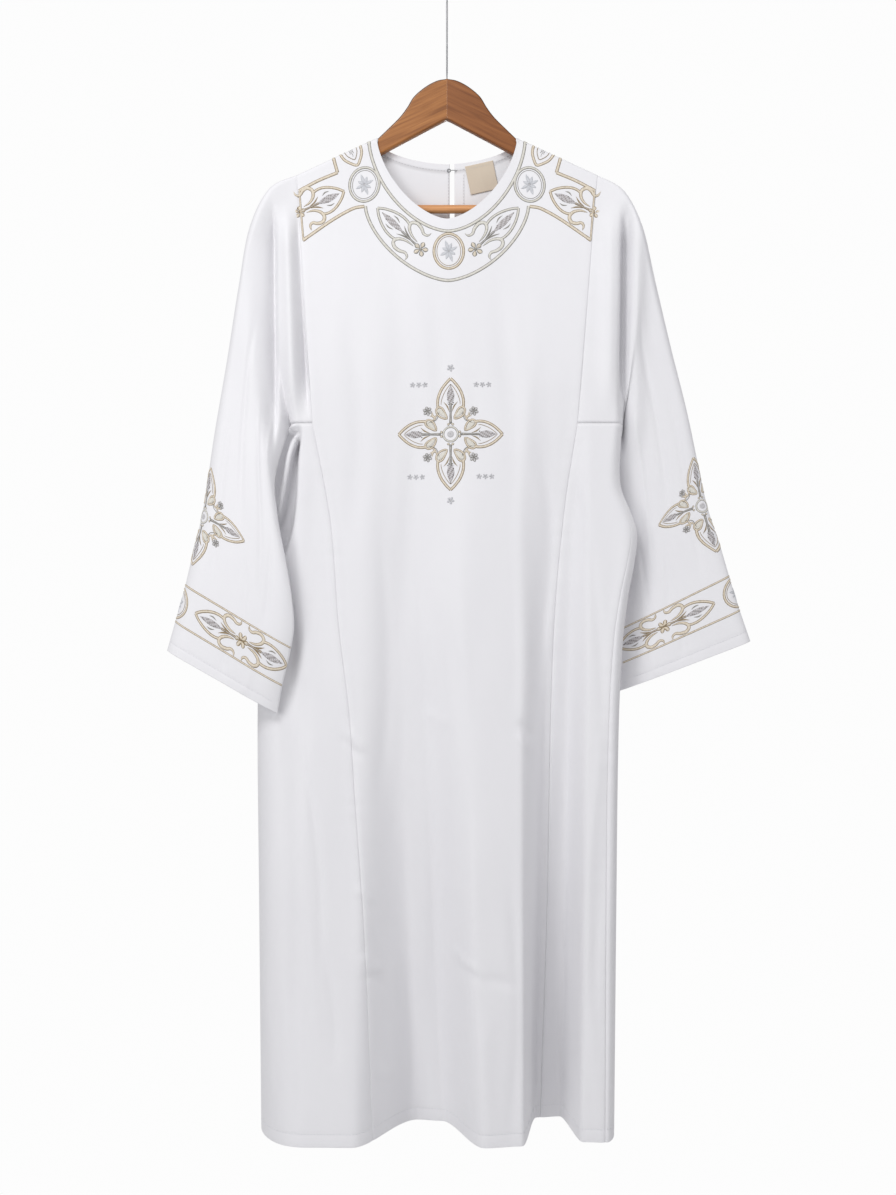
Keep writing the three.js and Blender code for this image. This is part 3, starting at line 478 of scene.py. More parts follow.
def sleeve_row(stations, folds, at, sheet, shares, inner_point, side):
    """One sheet's row of a sleeve, from the underarm to the outer fold."""
    inner_x, inner_drop, inner_y, outer_x, outer_drop, outer_y, half = (
        float(station_value(stations, i, at)) for i in range(7))
    middle_y = inner_y
    if inner_point is not None:
        inner_x, inner_y, inner_drop = inner_point[0], inner_point[1], WOOD_TOP - inner_point[2]
    length = math.hypot(inner_x - outer_x, inner_drop - outer_drop)
    loose = float(smooth(np.float64(at), 0.0, ATTACHED))
    x = lerp(inner_x, outer_x, shares)
    drop = lerp(inner_drop, outer_drop, shares)
    hanging = sheet * falling_depth((inner_drop - outer_drop) * (1.0 - shares), FULLNESS[sheet])
    tube = lerp(middle_y, outer_y, shares) + sheet * half * quarter(
        length * (1.0 - shares) / lerp(RIDGE_FALL, OUTER_ROUNDING, loose))
    opened = lerp(hanging, tube, loose) + sleeve_fold_depth(folds, sheet, x, drop) * float(
        smooth(np.float64(at), 0.0, FOLDS_FROM))
    relief = crease_height(np.full(x.shape, at) * CREASE_STEP, (1.0 - shares) * SLEEVE_WIDTH, [
        (a0 * CREASE_STEP, s0 * SLEEVE_WIDTH, a1 * CREASE_STEP, s1 * SLEEVE_WIDTH, width, height)
        for a0, s0, a1, s1, width, height in SLEEVE_CREASES[sheet]])
    relief += 0.8 * value_noise(x / 38.0, drop / 130.0, 41 + sheet + 3 * side)
    relief *= smooth(1.0 - shares, 0.02, 0.16) * smooth(shares, 0.0, 0.14) * smooth(np.float64(at), 0.1, 1.2)
    if inner_point is not None:
        relief += UNDERARM_RELIEF * smooth(shares * length, 0.0, GORE_REACH) * seam_relief(
            np.full(x.shape, at * UNDERARM_STEP), drop, 51 + sheet + 3 * side)
    relief -= 0.4 * math.exp(-((at - CUFF_STITCH) * CUFF_STEP / 2.2) ** 2)
    leaving_gore = 1.0 - np.exp(-(shares * length / GORE_REACH) ** 2)
    leaving_fold = 1.0 - (1.0 - shares) ** INNER_ROUNDING
    y = lerp(inner_y, opened + sheet * relief, lerp(leaving_gore, leaving_fold, loose ** 2))
    return place(x, y, drop)


def sleeve(side, stations, folds, gore_front, gore_back, armhole_front, armhole_back):
    """A sleeve: rows from the armhole to the cuff, each from the front's underarm to the back's."""
    shares = 1.0 - UPPER_SHARES[::-1]
    attached = crowded(GORE_WIDTH[side], CELL) * ATTACHED
    free = np.unique(np.concatenate([
        lerp(ATTACHED, CUFF_STATION, np.linspace(0, 1, round(600 / CELL) + 1)[1:]),
        CUFF_STATION - np.array([0.45, 0.40, 0.35, 0.10, 0.04])]))
    stations_at = np.concatenate([attached, free])
    rows = []
    for i, at in enumerate(stations_at):
        on_gore = i < len(attached)
        front_row, back_row = armhole_front, armhole_back
        if i > 0:
            front_row, back_row = (
                sleeve_row(stations, folds, at, sheet, shares, border[i] if on_gore else None, side)
                for sheet, border in ((FRONT, gore_front), (BACK, gore_back)))
        rows.append(np.concatenate([front_row, back_row[:-1][::-1]]))
    return np.array(rows), stations_at, len(shares) - 1


# ---- All the cloth's panels as grids of outside points ----
GORE_WIDTH = {-1: 235.0, 1: 130.0}
front_grid, _ = centre_panel(FRONT)
back_grid, slit_column = centre_panel(BACK, slit=True)
gore_front_left = gore(
    lambda d: [(FRONT, table_x(LEFT_EDGE, d), table_x(FRONT_SEAM_LEFT, d), "start")], GORE_WIDTH[-1])
gore_front_right = gore(
    lambda d: [(FRONT, table_x(FRONT_SEAM_RIGHT, d), side_seam_x(d), "end")], GORE_WIDTH[1])
gore_back_left = gore(
    lambda d: [(BACK, table_x(BACK_SEAM_LEFT, d), table_x(LEFT_EDGE, d), "end")], GORE_WIDTH[-1])
gore_back_right = gore(back_right_stretches, GORE_WIDTH[1])
UPPER = len(UPPER_SHARES)
sleeve_left, sleeve_left_at, sleeve_fold = sleeve(
    -1, LEFT_SLEEVE, LEFT_SLEEVE_FOLDS, gore_front_left[0][::-1], gore_back_left[0],
    front_grid[:UPPER, 0][::-1], back_grid[:UPPER, 0][::-1])
sleeve_right, sleeve_right_at, _ = sleeve(
    1, RIGHT_SLEEVE, RIGHT_SLEEVE_FOLDS, gore_front_right[0], gore_back_right[0][::-1],
    front_grid[:UPPER, -1][::-1], back_grid[:UPPER, -1][::-1])


# ---- Materials ----
def new_material(name):
    material = bpy.data.materials.new(name)
    material.use_nodes = True
    nodes, links = material.node_tree.nodes, material.node_tree.links
    return material, nodes, links, nodes["Principled BSDF"]


def add_node(nodes, kind, inputs=(), **settings):
    made = nodes.new(kind)
    for key, value in settings.items():
        setattr(made, key, value)
    for key, value in dict(inputs).items():
        made.inputs[key].default_value = value
    return made


def colour_ramp(nodes, stops):
    ramp = nodes.new("ShaderNodeValToRGB")
    while len(ramp.color_ramp.elements) < len(stops):
        ramp.color_ramp.elements.new(0.5)
    for element, (position, colour) in zip(ramp.color_ramp.elements, stops):
        element.position = position
        element.color = (*colour, 1.0)
    return ramp


def scaled_uv(nodes, links, scale, rotation=0.0):
    source = nodes.new("ShaderNodeUVMap")
    source.uv_map = "cloth"
    mapping = add_node(nodes, "ShaderNodeMapping", {"Scale": scale, "Rotation": (0.0, 0.0, rotation)})
    links.new(source.outputs["UV"], mapping.inputs["Vector"])
    return mapping.outputs["Vector"]


def cloth_material(name, light, dark, weave=0.00035, roughness=0.62, sheen=0.35, weave_scale=1.0):
    """A fine twill: diagonal ribs, slub along both yarns, and a faint unevenness of tone."""
    material, nodes, links, shader = new_material(name)
    shader.inputs["Roughness"].default_value = roughness
    shader.inputs["Sheen Weight"].default_value = sheen
    shader.inputs["Sheen Roughness"].default_value = 0.4
    shader.inputs["Specular IOR Level"].default_value = 0.35
    tone = add_node(nodes, "ShaderNodeTexNoise", {"Scale": 9.0, "Detail": 4.0, "Roughness": 0.6})
    links.new(scaled_uv(nodes, links, (1.0, 0.35, 1.0)), tone.inputs["Vector"])
    ramp = colour_ramp(nodes, [(0.32, dark), (0.68, light)])
    links.new(tone.outputs["Fac"], ramp.inputs["Fac"])
    links.new(ramp.outputs["Color"], shader.inputs["Base Color"])
    ribs = add_node(nodes, "ShaderNodeTexWave", {"Scale": 1.0, "Distortion": 0.6, "Detail": 1.0},
                    wave_type="BANDS", bands_direction="DIAGONAL")
    links.new(scaled_uv(nodes, links, (420.0 * weave_scale,) * 3), ribs.inputs["Vector"])
    slub = add_node(nodes, "ShaderNodeTexNoise", {"Scale": 1.0, "Detail": 3.0})
    links.new(scaled_uv(nodes, links, (90.0, 620.0, 1.0)), slub.inputs["Vector"])
    mix = add_node(nodes, "ShaderNodeMath", {1: 0.5}, operation="MULTIPLY_ADD")
    links.new(slub.outputs["Fac"], mix.inputs[0])
    links.new(ribs.outputs["Fac"], mix.inputs[2])
    bump = add_node(nodes, "ShaderNodeBump", {"Strength": 0.22, "Distance": weave})
    links.new(mix.outputs["Value"], bump.inputs["Height"])
    links.new(bump.outputs["Normal"], shader.inputs["Normal"])
    return material


def thread_material(name, light, dark, roughness):
    """Satin stitch: parallel threads across each stroke, with light and dark ones among them."""
    material, nodes, links, shader = new_material(name)
    shader.inputs["Roughness"].default_value = roughness
    shader.inputs["Sheen Weight"].default_value = 0.2
    shader.inputs["Anisotropic"].default_value = 0.4
    ply = add_node(nodes, "ShaderNodeTexWave", {"Scale": 1.0, "Distortion": 1.2, "Detail": 1.0},
                   wave_type="BANDS", bands_direction="Y")
    links.new(scaled_uv(nodes, links, (120.0, 620.0, 1.0), 0.16), ply.inputs["Vector"])
    tone = add_node(nodes, "ShaderNodeTexNoise", {"Scale": 260.0, "Detail": 3.0})
    links.new(scaled_uv(nodes, links, (1.0, 1.0, 1.0)), tone.inputs["Vector"])
    ramp = colour_ramp(nodes, [(0.3, dark), (0.65, light)])
    links.new(tone.outputs["Fac"], ramp.inputs["Fac"])
    links.new(ramp.outputs["Color"], shader.inputs["Base Color"])
    bump = add_node(nodes, "ShaderNodeBump", {"Strength": 0.5, "Distance": 0.0003})
    links.new(ply.outputs["Fac"], bump.inputs["Height"])
    links.new(bump.outputs["Normal"], shader.inputs["Normal"])
    return material


WOOD_TONES = [(0.28, (0.19, 0.065, 0.017)), (0.47, (0.315, 0.122, 0.034)), (0.60, (0.385, 0.157, 0.046)),
              (0.78, (0.45, 0.200, 0.064))]


def wood_material(name, gain):
    """Reddish brown stained wood: long grain with darker streaks and pores, under satin lacquer."""
    material, nodes, links, shader = new_material(name)
    shader.inputs["Roughness"].default_value = 0.42
    shader.inputs["Specular IOR Level"].default_value = 0.32
    shader.inputs["Coat Weight"].default_value = 0.12
    shader.inputs["Coat Roughness"].default_value = 0.22
    grain = add_node(nodes, "ShaderNodeTexNoise", {"Scale": 1.0, "Detail": 6.0, "Roughness": 0.62,
                                                   "Distortion": 0.5})
    links.new(scaled_uv(nodes, links, (9.0, 190.0, 1.0)), grain.inputs["Vector"])
    ramp = colour_ramp(nodes, [(at, tuple(np.multiply(gain, tone))) for at, tone in WOOD_TONES])
    links.new(grain.outputs["Fac"], ramp.inputs["Fac"])
    links.new(ramp.outputs["Color"], shader.inputs["Base Color"])
    pores = add_node(nodes, "ShaderNodeTexNoise", {"Scale": 1.0, "Detail": 3.0})
    links.new(scaled_uv(nodes, links, (45.0, 1500.0, 1.0)), pores.inputs["Vector"])
    bump = add_node(nodes, "ShaderNodeBump", {"Strength": 0.25, "Distance": 0.0003})
    links.new(pores.outputs["Fac"], bump.inputs["Height"])
    links.new(bump.outputs["Normal"], shader.inputs["Normal"])
    return material


def steel_material(name):
    """Bright drawn wire with fine lengthwise drawing marks."""
    material, nodes, links, shader = new_material(name)
    shader.inputs["Metallic"].default_value = 1.0
    shader.inputs["Roughness"].default_value = 0.34
    shader.inputs["Anisotropic"].default_value = 0.5
    position = nodes.new("ShaderNodeTexCoord")
    mapping = add_node(nodes, "ShaderNodeMapping", {"Scale": (2600.0, 2600.0, 90.0)})
    links.new(position.outputs["Object"], mapping.inputs["Vector"])
    marks = add_node(nodes, "ShaderNodeTexNoise", {"Scale": 1.0, "Detail": 3.0})
    links.new(mapping.outputs["Vector"], marks.inputs["Vector"])
    ramp = colour_ramp(nodes, [(0.3, (0.26, 0.26, 0.27)), (0.7, (0.40, 0.40, 0.41))])
    links.new(marks.outputs["Fac"], ramp.inputs["Fac"])
    links.new(ramp.outputs["Color"], shader.inputs["Base Color"])
    bump = add_node(nodes, "ShaderNodeBump", {"Strength": 0.15, "Distance": 0.0001})
    links.new(marks.outputs["Fac"], bump.inputs["Height"])
    links.new(bump.outputs["Normal"], shader.inputs["Normal"])
    return material


CLOTH_MATERIAL = cloth_material("white_twill", (0.790, 0.785, 0.804), (0.768, 0.762, 0.784))
LABEL_MATERIAL = cloth_material("beige_woven_tape", (0.66, 0.57, 0.46), (0.58, 0.49, 0.39), weave=0.0006,
                                roughness=0.8, sheen=0.3, weave_scale=0.7)
THREADS = [thread_material(*thread) for thread in (
    ("cream_thread", (0.78, 0.70, 0.58), (0.67, 0.585, 0.455), 0.5),
    ("gold_thread", (0.37, 0.28, 0.16), (0.23, 0.165, 0.09), 0.42),
    ("silver_grey_thread", (0.33, 0.315, 0.28), (0.19, 0.18, 0.16), 0.42),
    ("pale_grey_thread", (0.62, 0.61, 0.62), (0.50, 0.49, 0.50), 0.5),
    ("white_thread", (0.76, 0.76, 0.79), (0.68, 0.68, 0.72), 0.55),
    ("grey_thread", (0.52, 0.49, 0.49), (0.40, 0.375, 0.375), 0.5),
    ("pale_star_thread", (0.64, 0.65, 0.68), (0.54, 0.55, 0.58), 0.5),
    ("ivory_thread", (0.75, 0.73, 0.67), (0.66, 0.635, 0.57), 0.5),
    ("dark_grey_thread", (0.16, 0.145, 0.14), (0.09, 0.08, 0.08), 0.5))]
CREAM, GOLD, SILVER, PALE, WHITE, GREY, STAR, IVORY, DARK = range(len(THREADS))
WOOD_MATERIAL = wood_material("stained_wood", 1.0)
# The right arm gets a darker copy of the same wood.
RIGHT_WOOD_MATERIAL = wood_material("right_arm_darker_wood", (0.72, 0.64, 0.62))
# The bar's copy of the wood is made far lighter than the arms' to paint light over the shade the arms cast on
# it; it is the same wood, not a paler stain.
BAR_MATERIAL = wood_material("bar_wood_painted_light", (1.9, 2.3, 3.3))
EDGE_MATERIAL = wood_material("dark_edge_wood", 0.22)
STEEL_MATERIAL = steel_material("drawn_wire")


# ---- Meshes ----
def add_mesh(name, vertices, faces, materials, uv=None, smooth_faces=None, face_material=None):
    """An object in metres from millimetre vertices and quads or triangles, riding on the root."""
    mesh = bpy.data.meshes.new(name)
    mesh.from_pydata((np.asarray(vertices) * 0.001).tolist(), [], faces)
    count = len(mesh.polygons)
    flags = np.ones(count, bool) if smooth_faces is None else np.asarray(smooth_faces, bool)
    mesh.polygons.foreach_set("use_smooth", flags)
    for material in materials:
        mesh.materials.append(material)
    if face_material is not None:
        mesh.polygons.foreach_set("material_index", np.asarray(face_material, np.int32))
    if uv is not None:
        layer = mesh.uv_layers.new(name="cloth")
        loops = np.empty(len(mesh.loops), np.int32)
        mesh.loops.foreach_get("vertex_index", loops)
        layer.data.foreach_set("uv", (np.asarray(uv) * 0.001)[loops].ravel())
    mesh.update()
    piece = bpy.data.objects.new(name, mesh)
    bpy.context.scene.collection.objects.link(piece)
    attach(piece, "root")
    return piece


def grid_normals(grid):
    normal = np.cross(np.gradient(grid, axis=0), np.gradient(grid, axis=1))
    length = np.linalg.norm(normal, axis=-1, keepdims=True)
    return normal / np.maximum(length, 1e-9)


def arc_uv(grid):
    across = np.linalg.norm(np.diff(grid, axis=1), axis=-1)
    down = np.linalg.norm(np.diff(grid, axis=0), axis=-1)
    u = np.concatenate([np.zeros((grid.shape[0], 1)), np.cumsum(across, axis=1)], axis=1)
    v = np.concatenate([np.zeros((1, grid.shape[1])), np.cumsum(down, axis=0)], axis=0)
    u -= u.mean(axis=1, keepdims=True)
    return np.stack([u, np.repeat(v.mean(axis=1, keepdims=True), grid.shape[1], axis=1)], axis=-1)


def cloth_shell(name, grid, thickness, material, filled=None):
    """A closed shell: the outside grid, the same grid moved in, and rims round every border."""
    rows, columns = grid.shape[:2]
    inner = grid - grid_normals(grid) * np.asarray(thickness)[..., None]
    vertices = np.concatenate([grid.reshape(-1, 3), inner.reshape(-1, 3)])
    uv = np.tile(arc_uv(grid).reshape(-1, 2), (2, 1))
    if filled is None:
        filled = np.ones((rows - 1, columns - 1), bool)
    row, col = np.nonzero(filled)
    a = row * columns + col
    outer = np.stack([a, a + columns, a + columns + 1, a + 1], axis=1)
    layer = rows * columns
    padded = np.pad(filled, 1)
    rims = []
    for shift, (start, end) in (((0, -1), (0, 1)), ((1, 0), (1, 2)), ((0, 1), (2, 3)), ((-1, 0), (3, 0))):
        open_side = ~padded[row + 1 + shift[0], col + 1 + shift[1]]
        first, last = outer[open_side][:, start], outer[open_side][:, end]
        rims.append(np.stack([first + layer, last + layer, last, first], axis=1))
    rims = np.concatenate(rims)
    faces = np.concatenate([outer, outer[:, ::-1] + layer, rims])
    used = np.unique(faces)
    number = np.full(len(vertices), -1)
    number[used] = np.arange(len(used))
    smooth_faces = np.ones(len(faces), bool)
    smooth_faces[-len(rims):] = False
    return add_mesh(name, vertices[used], number[faces].tolist(), [material], uv[used], smooth_faces)


FACING = 0.9
HEM_THICKNESS = 2.0
SLEEVE_HEM_ROWS = 6


def row_thickness(node, rows, columns, turned_rows):
    """Thickness at each point: double at the turned-up hem and where a facing backs the neck."""
    thickness = np.full((rows, columns), CLOTH)
    thickness[-turned_rows:] = HEM_THICKNESS
    if node in ("front", "back"):
        thickness[:FACING_ROWS] += FACING
    return thickness


PANELS = {
    "front": front_grid, "back": back_grid[:, ::-1], "side_front_left": gore_front_left,
    "side_front_right": gore_front_right, "side_back_left": gore_back_left,
    "side_back_right": gore_back_right, "sleeve_left": sleeve_left[:, ::-1], "sleeve_right": sleeve_right,
}
for node, grid in PANELS.items():
    turned = SLEEVE_HEM_ROWS if node.startswith("sleeve") else len(HEM_ROWS) - 2
    filled = np.ones((grid.shape[0] - 1, grid.shape[1] - 1), bool)
    if node == "back":
        slit_rows = int(np.searchsorted(lerp(float(top_drop(7.0, BACK)), ARMPIT, UPPER_SHARES), SLIT_END))
        filled[:slit_rows, grid.shape[1] - 2 - slit_column] = False
    thickness = row_thickness(node, *grid.shape[:2], turned)
    cloth_shell("cloth_" + node, grid, thickness, CLOTH_MATERIAL, filled)
    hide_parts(node)


# ---- Laying flat points on the cloth ----
def lay_on_body(sheet):
    """Maps flat (x, drop) points to a body sheet; past the shoulder line they pass to the other."""
    def surface(x, drop):
        below = drop - ridge_drop(x)
        over = (below < 0.0) & (np.abs(x) >= NECK_HALF)
        true_drop = np.where(over, ridge_drop(x) - below, drop)
        near, far = body_y(sheet, x, true_drop), body_y(-sheet, x, true_drop)
        return place(x, np.where(over, far, near), true_drop)

    def lay(points):
        x, drop = points[..., 0], points[..., 1]
        step = 0.7
        across = surface(x + step, drop) - surface(x - step, drop)
        down = surface(x, drop + step) - surface(x, drop - step)
        normal = np.cross(down, across) * (1.0 if sheet == FRONT else -1.0)
        normal /= np.maximum(np.linalg.norm(normal, axis=-1, keepdims=True), 1e-9)
        return surface(x, drop), normal
    return lay


def lay_on_sleeve(grid, stations_at, side, by_station):
    """Maps flat points to a sleeve.

    The first number is the distance from the outer fold, positive on the front. The second is a
    station number, or a distance down the fold from the armhole.
    """
    normals = grid_normals(grid) * (1.0 if side > 0 else -1.0)
    fold = sleeve_fold
    along = np.concatenate([[0.0], np.cumsum(np.linalg.norm(np.diff(grid[:, fold], axis=0), axis=-1))])
    steps = np.linalg.norm(np.diff(grid, axis=1), axis=-1)
    cumulative = np.concatenate([np.zeros((len(grid), 1)), np.cumsum(steps, axis=1)], axis=1)
    signed = cumulative[:, fold:fold + 1] - cumulative
    numbers = np.arange(grid.shape[1])

    def at_row(row, away):
        spot = np.interp(away, signed[row][::-1], numbers[::-1])
        low = np.clip(np.floor(spot).astype(int), 0, grid.shape[1] - 2)
        part = (spot - low)[:, None]
        return (lerp(grid[row, low], grid[row, low + 1], part),
                lerp(normals[row, low], normals[row, low + 1], part))

    def lay(points):
        flat = points.reshape(-1, 2)
        key = stations_at if by_station else along
        spot = np.interp(flat[:, 1], key, np.arange(len(grid)))
        low = np.clip(np.floor(spot).astype(int), 0, len(grid) - 2)
        positions, directions = np.empty((len(flat), 3)), np.empty((len(flat), 3))
        for row in np.unique(low):
            mine = low == row
            part = (spot[mine] - row)[:, None]
            here, next_row = at_row(row, flat[mine, 0]), at_row(row + 1, flat[mine, 0])
            positions[mine] = lerp(here[0], next_row[0], part)
            directions[mine] = lerp(here[1], next_row[1], part)
        directions /= np.maximum(np.linalg.norm(directions, axis=-1, keepdims=True), 1e-9)
        return positions.reshape(*points.shape[:-1], 3), directions.reshape(*points.shape[:-1], 3)
    lay.along = along
    return lay


def lay_inside(lay, depth):
    """The same map for the inner face of the sheet."""
    def inner(points):
        position, normal = lay(points)
        return position - normal * depth, -normal
    return inner


def smooth_path(points, step, closed=False):
    """Evenly spaced points on a Catmull-Rom curve through the given ones."""
    points = np.asarray(points, float)
    if len(points) == 2:
        dense = lerp(points[0], points[1], np.linspace(0, 1, 33)[:, None])
    else:
        padded = np.vstack([points[-1], points, points[:2]]) if closed else np.vstack(
            [2 * points[0] - points[1], points, 2 * points[-1] - points[-2]])
        t = np.linspace(0, 1, 17)[:-1, None]
        spans = []
        for i in range(len(padded) - 3):
            a, b, c, d = padded[i:i + 4]
            spans.append(cubic(b, c, (c - a) / 2, (d - b) / 2, t))
        dense = np.vstack(spans + [points[:1] if closed else points[-1:]])
    lengths = np.linalg.norm(np.diff(dense, axis=0), axis=1)
    along = np.concatenate([[0.0], np.cumsum(lengths)])
    count = max(3, int(math.ceil(along[-1] / step)))
    wanted = np.linspace(0.0, along[-1], count + 1)
    return np.stack([np.interp(wanted, along, dense[:, i]) for i in range(2)], axis=1), wanted


SECTION = np.array([[-1.0, -0.12], [-0.62, 0.74], [0.0, 1.0], [0.62, 0.74], [1.0, -0.12]])


class Stitching:
    """Raised thread work, collected as one mesh and laid on a sheet by a map of flat points."""

    def __init__(self, lay):
        self.lay = lay
        self.vertices, self.faces, self.kinds, self.uv = [], [], [], []
        self.count = 0

    def add(self, points, uv, faces, kind):
        self.vertices.append(points)
        self.uv.append(uv)
        self.faces.extend([[i + self.count for i in face] for face in faces])
        self.kinds.extend([kind] * len(faces))
        self.count += len(points)

    def stroke(self, path, half, height, kind, step=1.8, closed=False, taper=0.0):
        """A satin stroke along a path; half widths may vary along it, and its ends may taper."""
        line, along = smooth_path(path, step, closed)
        direction = np.gradient(line, axis=0)
        if closed:
            direction[0] = direction[-1] = line[1] - line[-2]
        direction /= np.maximum(np.linalg.norm(direction, axis=1, keepdims=True), 1e-9)
        across = np.stack([-direction[:, 1], direction[:, 0]], axis=1)
        share = along / along[-1]
        width = np.interp(share, np.linspace(0, 1, len(np.atleast_1d(half))), np.atleast_1d(half))
        if taper:
            width = width * np.sqrt(np.clip(np.minimum(share, 1 - share) / taper, 0.02, 1.0))
        flat = line[:, None] + across[:, None] * (width[:, None] * SECTION[:, 0])[..., None]
        base, normal = self.lay(flat)
        low = np.where(SECTION[:, 1] < 0, -0.15, SECTION[:, 1] * height)
        points = base + normal * low[None, :, None]
        rows, sides = len(line), len(SECTION)
        uv = np.stack([width[:, None] * SECTION[:, 0], np.repeat(along[:, None], sides, axis=1)], axis=-1)
        if closed:
            points, uv, rows = points[:-1], uv[:-1], rows - 1
        faces = []
        for i in range(rows if closed else rows - 1):
            j = (i + 1) % rows
            for k in range(sides):
                m = (k + 1) % sides
                faces.append([i * sides + k, i * sides + m, j * sides + m, j * sides + k])
        if not closed:
            faces.append(list(range(sides))[::-1])
            faces.append([(rows - 1) * sides + k for k in range(sides)])
        self.add(points.reshape(-1, 3), uv.reshape(-1, 2), faces, kind)

    def cord(self, path, kind, closed=False, half=2.7, edge=0.9, taper=0.0):
        """A satin band of pale thread, raised over a darker one that shows along both edges."""
        half = np.atleast_1d(half).astype(float)
        ground = IVORY if kind == SILVER else CREAM
        self.stroke(path, half, 0.35, kind, 2.2, closed, taper)
        self.stroke(path, np.maximum(half - edge, 0.25), 0.75, ground, 2.2, closed, taper)

    def beads(self, centres, radius, height, kind):
        """Small raised knots."""
        centres = np.asarray(centres, float)
        if not len(centres):
            return
        angles = np.arange(6) * math.pi / 3
        ring = centres[:, None] + radius * np.stack([np.cos(angles), np.sin(angles)], axis=1)
        base, normal = self.lay(np.concatenate([ring, centres[:, None]], axis=1))
        lift = np.array([-0.1] * 6 + [height])
        points = base + normal * lift[None, :, None]
        faces = []
        for k in range(len(centres)):
            start = 7 * k
            faces += [[start + i, start + (i + 1) % 6, start + 6] for i in range(6)]
            faces.append([start + i for i in range(5, -1, -1)])
        uv = np.tile(ring.mean(axis=1)[:, None], (1, 7, 1))
        self.add(points.reshape(-1, 3), uv.reshape(-1, 2), faces, kind)

    def dashes(self, path, kind=WHITE, length=2.8, gap=1.5, half=0.35):
        """A row of running stitches."""
        line, along = smooth_path(path, 1.0)
        start = 0.8
        while start + length < along[-1]:
            ends = np.linspace(start, start + length, 3)
            dash = np.stack([np.interp(ends, along, line[:, i]) for i in range(2)], axis=1)
            self.stroke(dash, half, 0.42, kind, length / 2, taper=0.3)
            start += length + gap

    def build(self, name, slot="cloth"):
        return add_mesh(name, np.concatenate(self.vertices), self.faces, THREADS,
                        np.concatenate(self.uv), face_material=self.kinds)


# ---- Motifs, each drawn in its own plane and then placed ----
def placed(points, origin, toward, mirror=1.0):
    """Turns a motif's plane: its first axis points toward the given direction."""
    points = np.asarray(points, float)
    direction = np.asarray(toward, float) / math.hypot(*toward)
    aside = np.array([-direction[1], direction[0]]) * mirror
    return np.asarray(origin, float) + points[:, :1] * direction + points[:, 1:] * aside


LEAF_OUTLINE = [(1.0, 0.0), (0.90, 0.20), (0.76, 0.38), (0.62, 0.48), (0.50, 0.49), (0.41, 0.44)]
LEAF_SCROLL = [(0.12, 0.12), (0.27, 0.17), (0.385, 0.33), (0.42, 0.55), (0.345, 0.71), (0.23, 0.68),
               (0.15, 0.58), (0.075, 0.64), (0.06, 0.82)]
SCROLL_HALF = [0.9, 1.9, 2.7, 3.0, 2.9, 2.4, 1.4]
LEAF_SPRIG = [(0.24, 0.04), (0.36, 0.10), (0.47, 0.24)]
LEAF_FIN = [(0.56, 0.20), (0.64, 0.27), (0.72, 0.25)]
LENS = (0.40, 0.90)


def lens_beads(length, width, spacing=2.8):
    """Knots on a staggered grid inside the leaf's middle lens."""
    centres = []
    middle, half = (LENS[0] + LENS[1]) / 2 * length, (LENS[1] - LENS[0]) / 2 * length
    rows = int(half / (spacing * 0.86))
    for row in range(-rows, rows + 1):
        x = row * spacing * 0.86
        reach = 0.15 * width * (1.0 - (x / half) ** 2) - 0.6
        count = int(reach / spacing + 0.5)
        shift = 0.5 * spacing * (row % 2)
        for k in range(-count, count + 1):
            if abs(k * spacing + shift) <= reach:
                centres.append((middle + x, k * spacing + shift))
    return centres


def speckled(stitching, path, half, knots):
    """A leaf's middle lens: a grey ground with light and dark knots among each other."""
    stitching.stroke(path, half, 0.3, GREY, 1.8)
    stitching.beads(knots[::2], 1.1, 0.85, DARK)
    stitching.beads(knots[1::2], 1.1, 0.85, WHITE)


def leaf(stitching, base, tip, width, kind):
    """A pointed leaf from its base to its tip: outline, beaded lens, stem, and scrolls at its foot."""
    toward = (tip[0] - base[0], tip[1] - base[1])
    length = math.hypot(*toward)

    def at(points, mirror=1.0):
        return placed(np.asarray(points) * (length, width), base, toward, mirror)

    for mirror in (1.0, -1.0):
        stitching.cord(at(LEAF_OUTLINE, mirror), kind, half=2.3)
        stitching.stroke(at(LEAF_SPRIG, mirror), [0.6, 1.3, 0.6], 0.6, kind, 1.6, taper=0.3)
        stitching.stroke(at(LEAF_FIN, mirror), [0.5, 1.1, 0.5], 0.5, SILVER, 1.6, taper=0.3)
        stitching.cord(at(LEAF_SCROLL, mirror), kind, half=SCROLL_HALF, edge=0.7, taper=0.08)
    lens = [(LENS[0], 0.0), (LENS[1], 0.0)]
    lens_shape = np.array([0.006, 0.12, 0.17, 0.12, 0.006]) * width
    speckled(stitching, at(lens), lens_shape, placed(lens_beads(length, width), base, toward))
    stitching.stroke(at([(0.06, 0.0), (0.25, 0.0), (LENS[0] + 0.03, 0.0)]), [2.0, 1.5, 1.9], 0.6, kind, 2.0)
    stitching.stroke(at([(0.05, 0.0), (0.25, 0.0), (LENS[0] + 0.05, 0.0)]), 0.45, 0.95, PALE, 2.0)
    flower(stitching, base, 0.125 * length, kind, 5, math.atan2(toward[1], toward[0]))


def flower(stitching, centre, radius, kind, petals=6, turn=0.0, ground=CREAM):
    """A small rosette of satin petals round a knot."""
    for k in range(petals):
        angle = turn + 2 * math.pi * k / petals
        ray = np.array([math.cos(angle), math.sin(angle)])
        start, end = np.asarray(centre) + 0.22 * radius * ray, np.asarray(centre) + radius * ray
        shape = np.array([0.12, 0.30, 0.40, 0.36, 0.12]) * radius
        stitching.stroke([start, end], shape, 0.35, kind, 1.2)
        stitching.stroke([start, end], np.maximum(shape - 0.14 * radius, 0.1), 0.65, ground, 1.2)
    stitching.beads([centre], 0.26 * radius, 0.9, kind)


def ring(centre, rx, ry, tilt=0.0, count=20):
    angles = np.arange(count) * 2 * math.pi / count
    x, y = rx * np.cos(angles), ry * np.sin(angles)
    return np.asarray(centre) + np.stack([x * math.cos(tilt) - y * math.sin(tilt),
                                          x * math.sin(tilt) + y * math.cos(tilt)], axis=1)


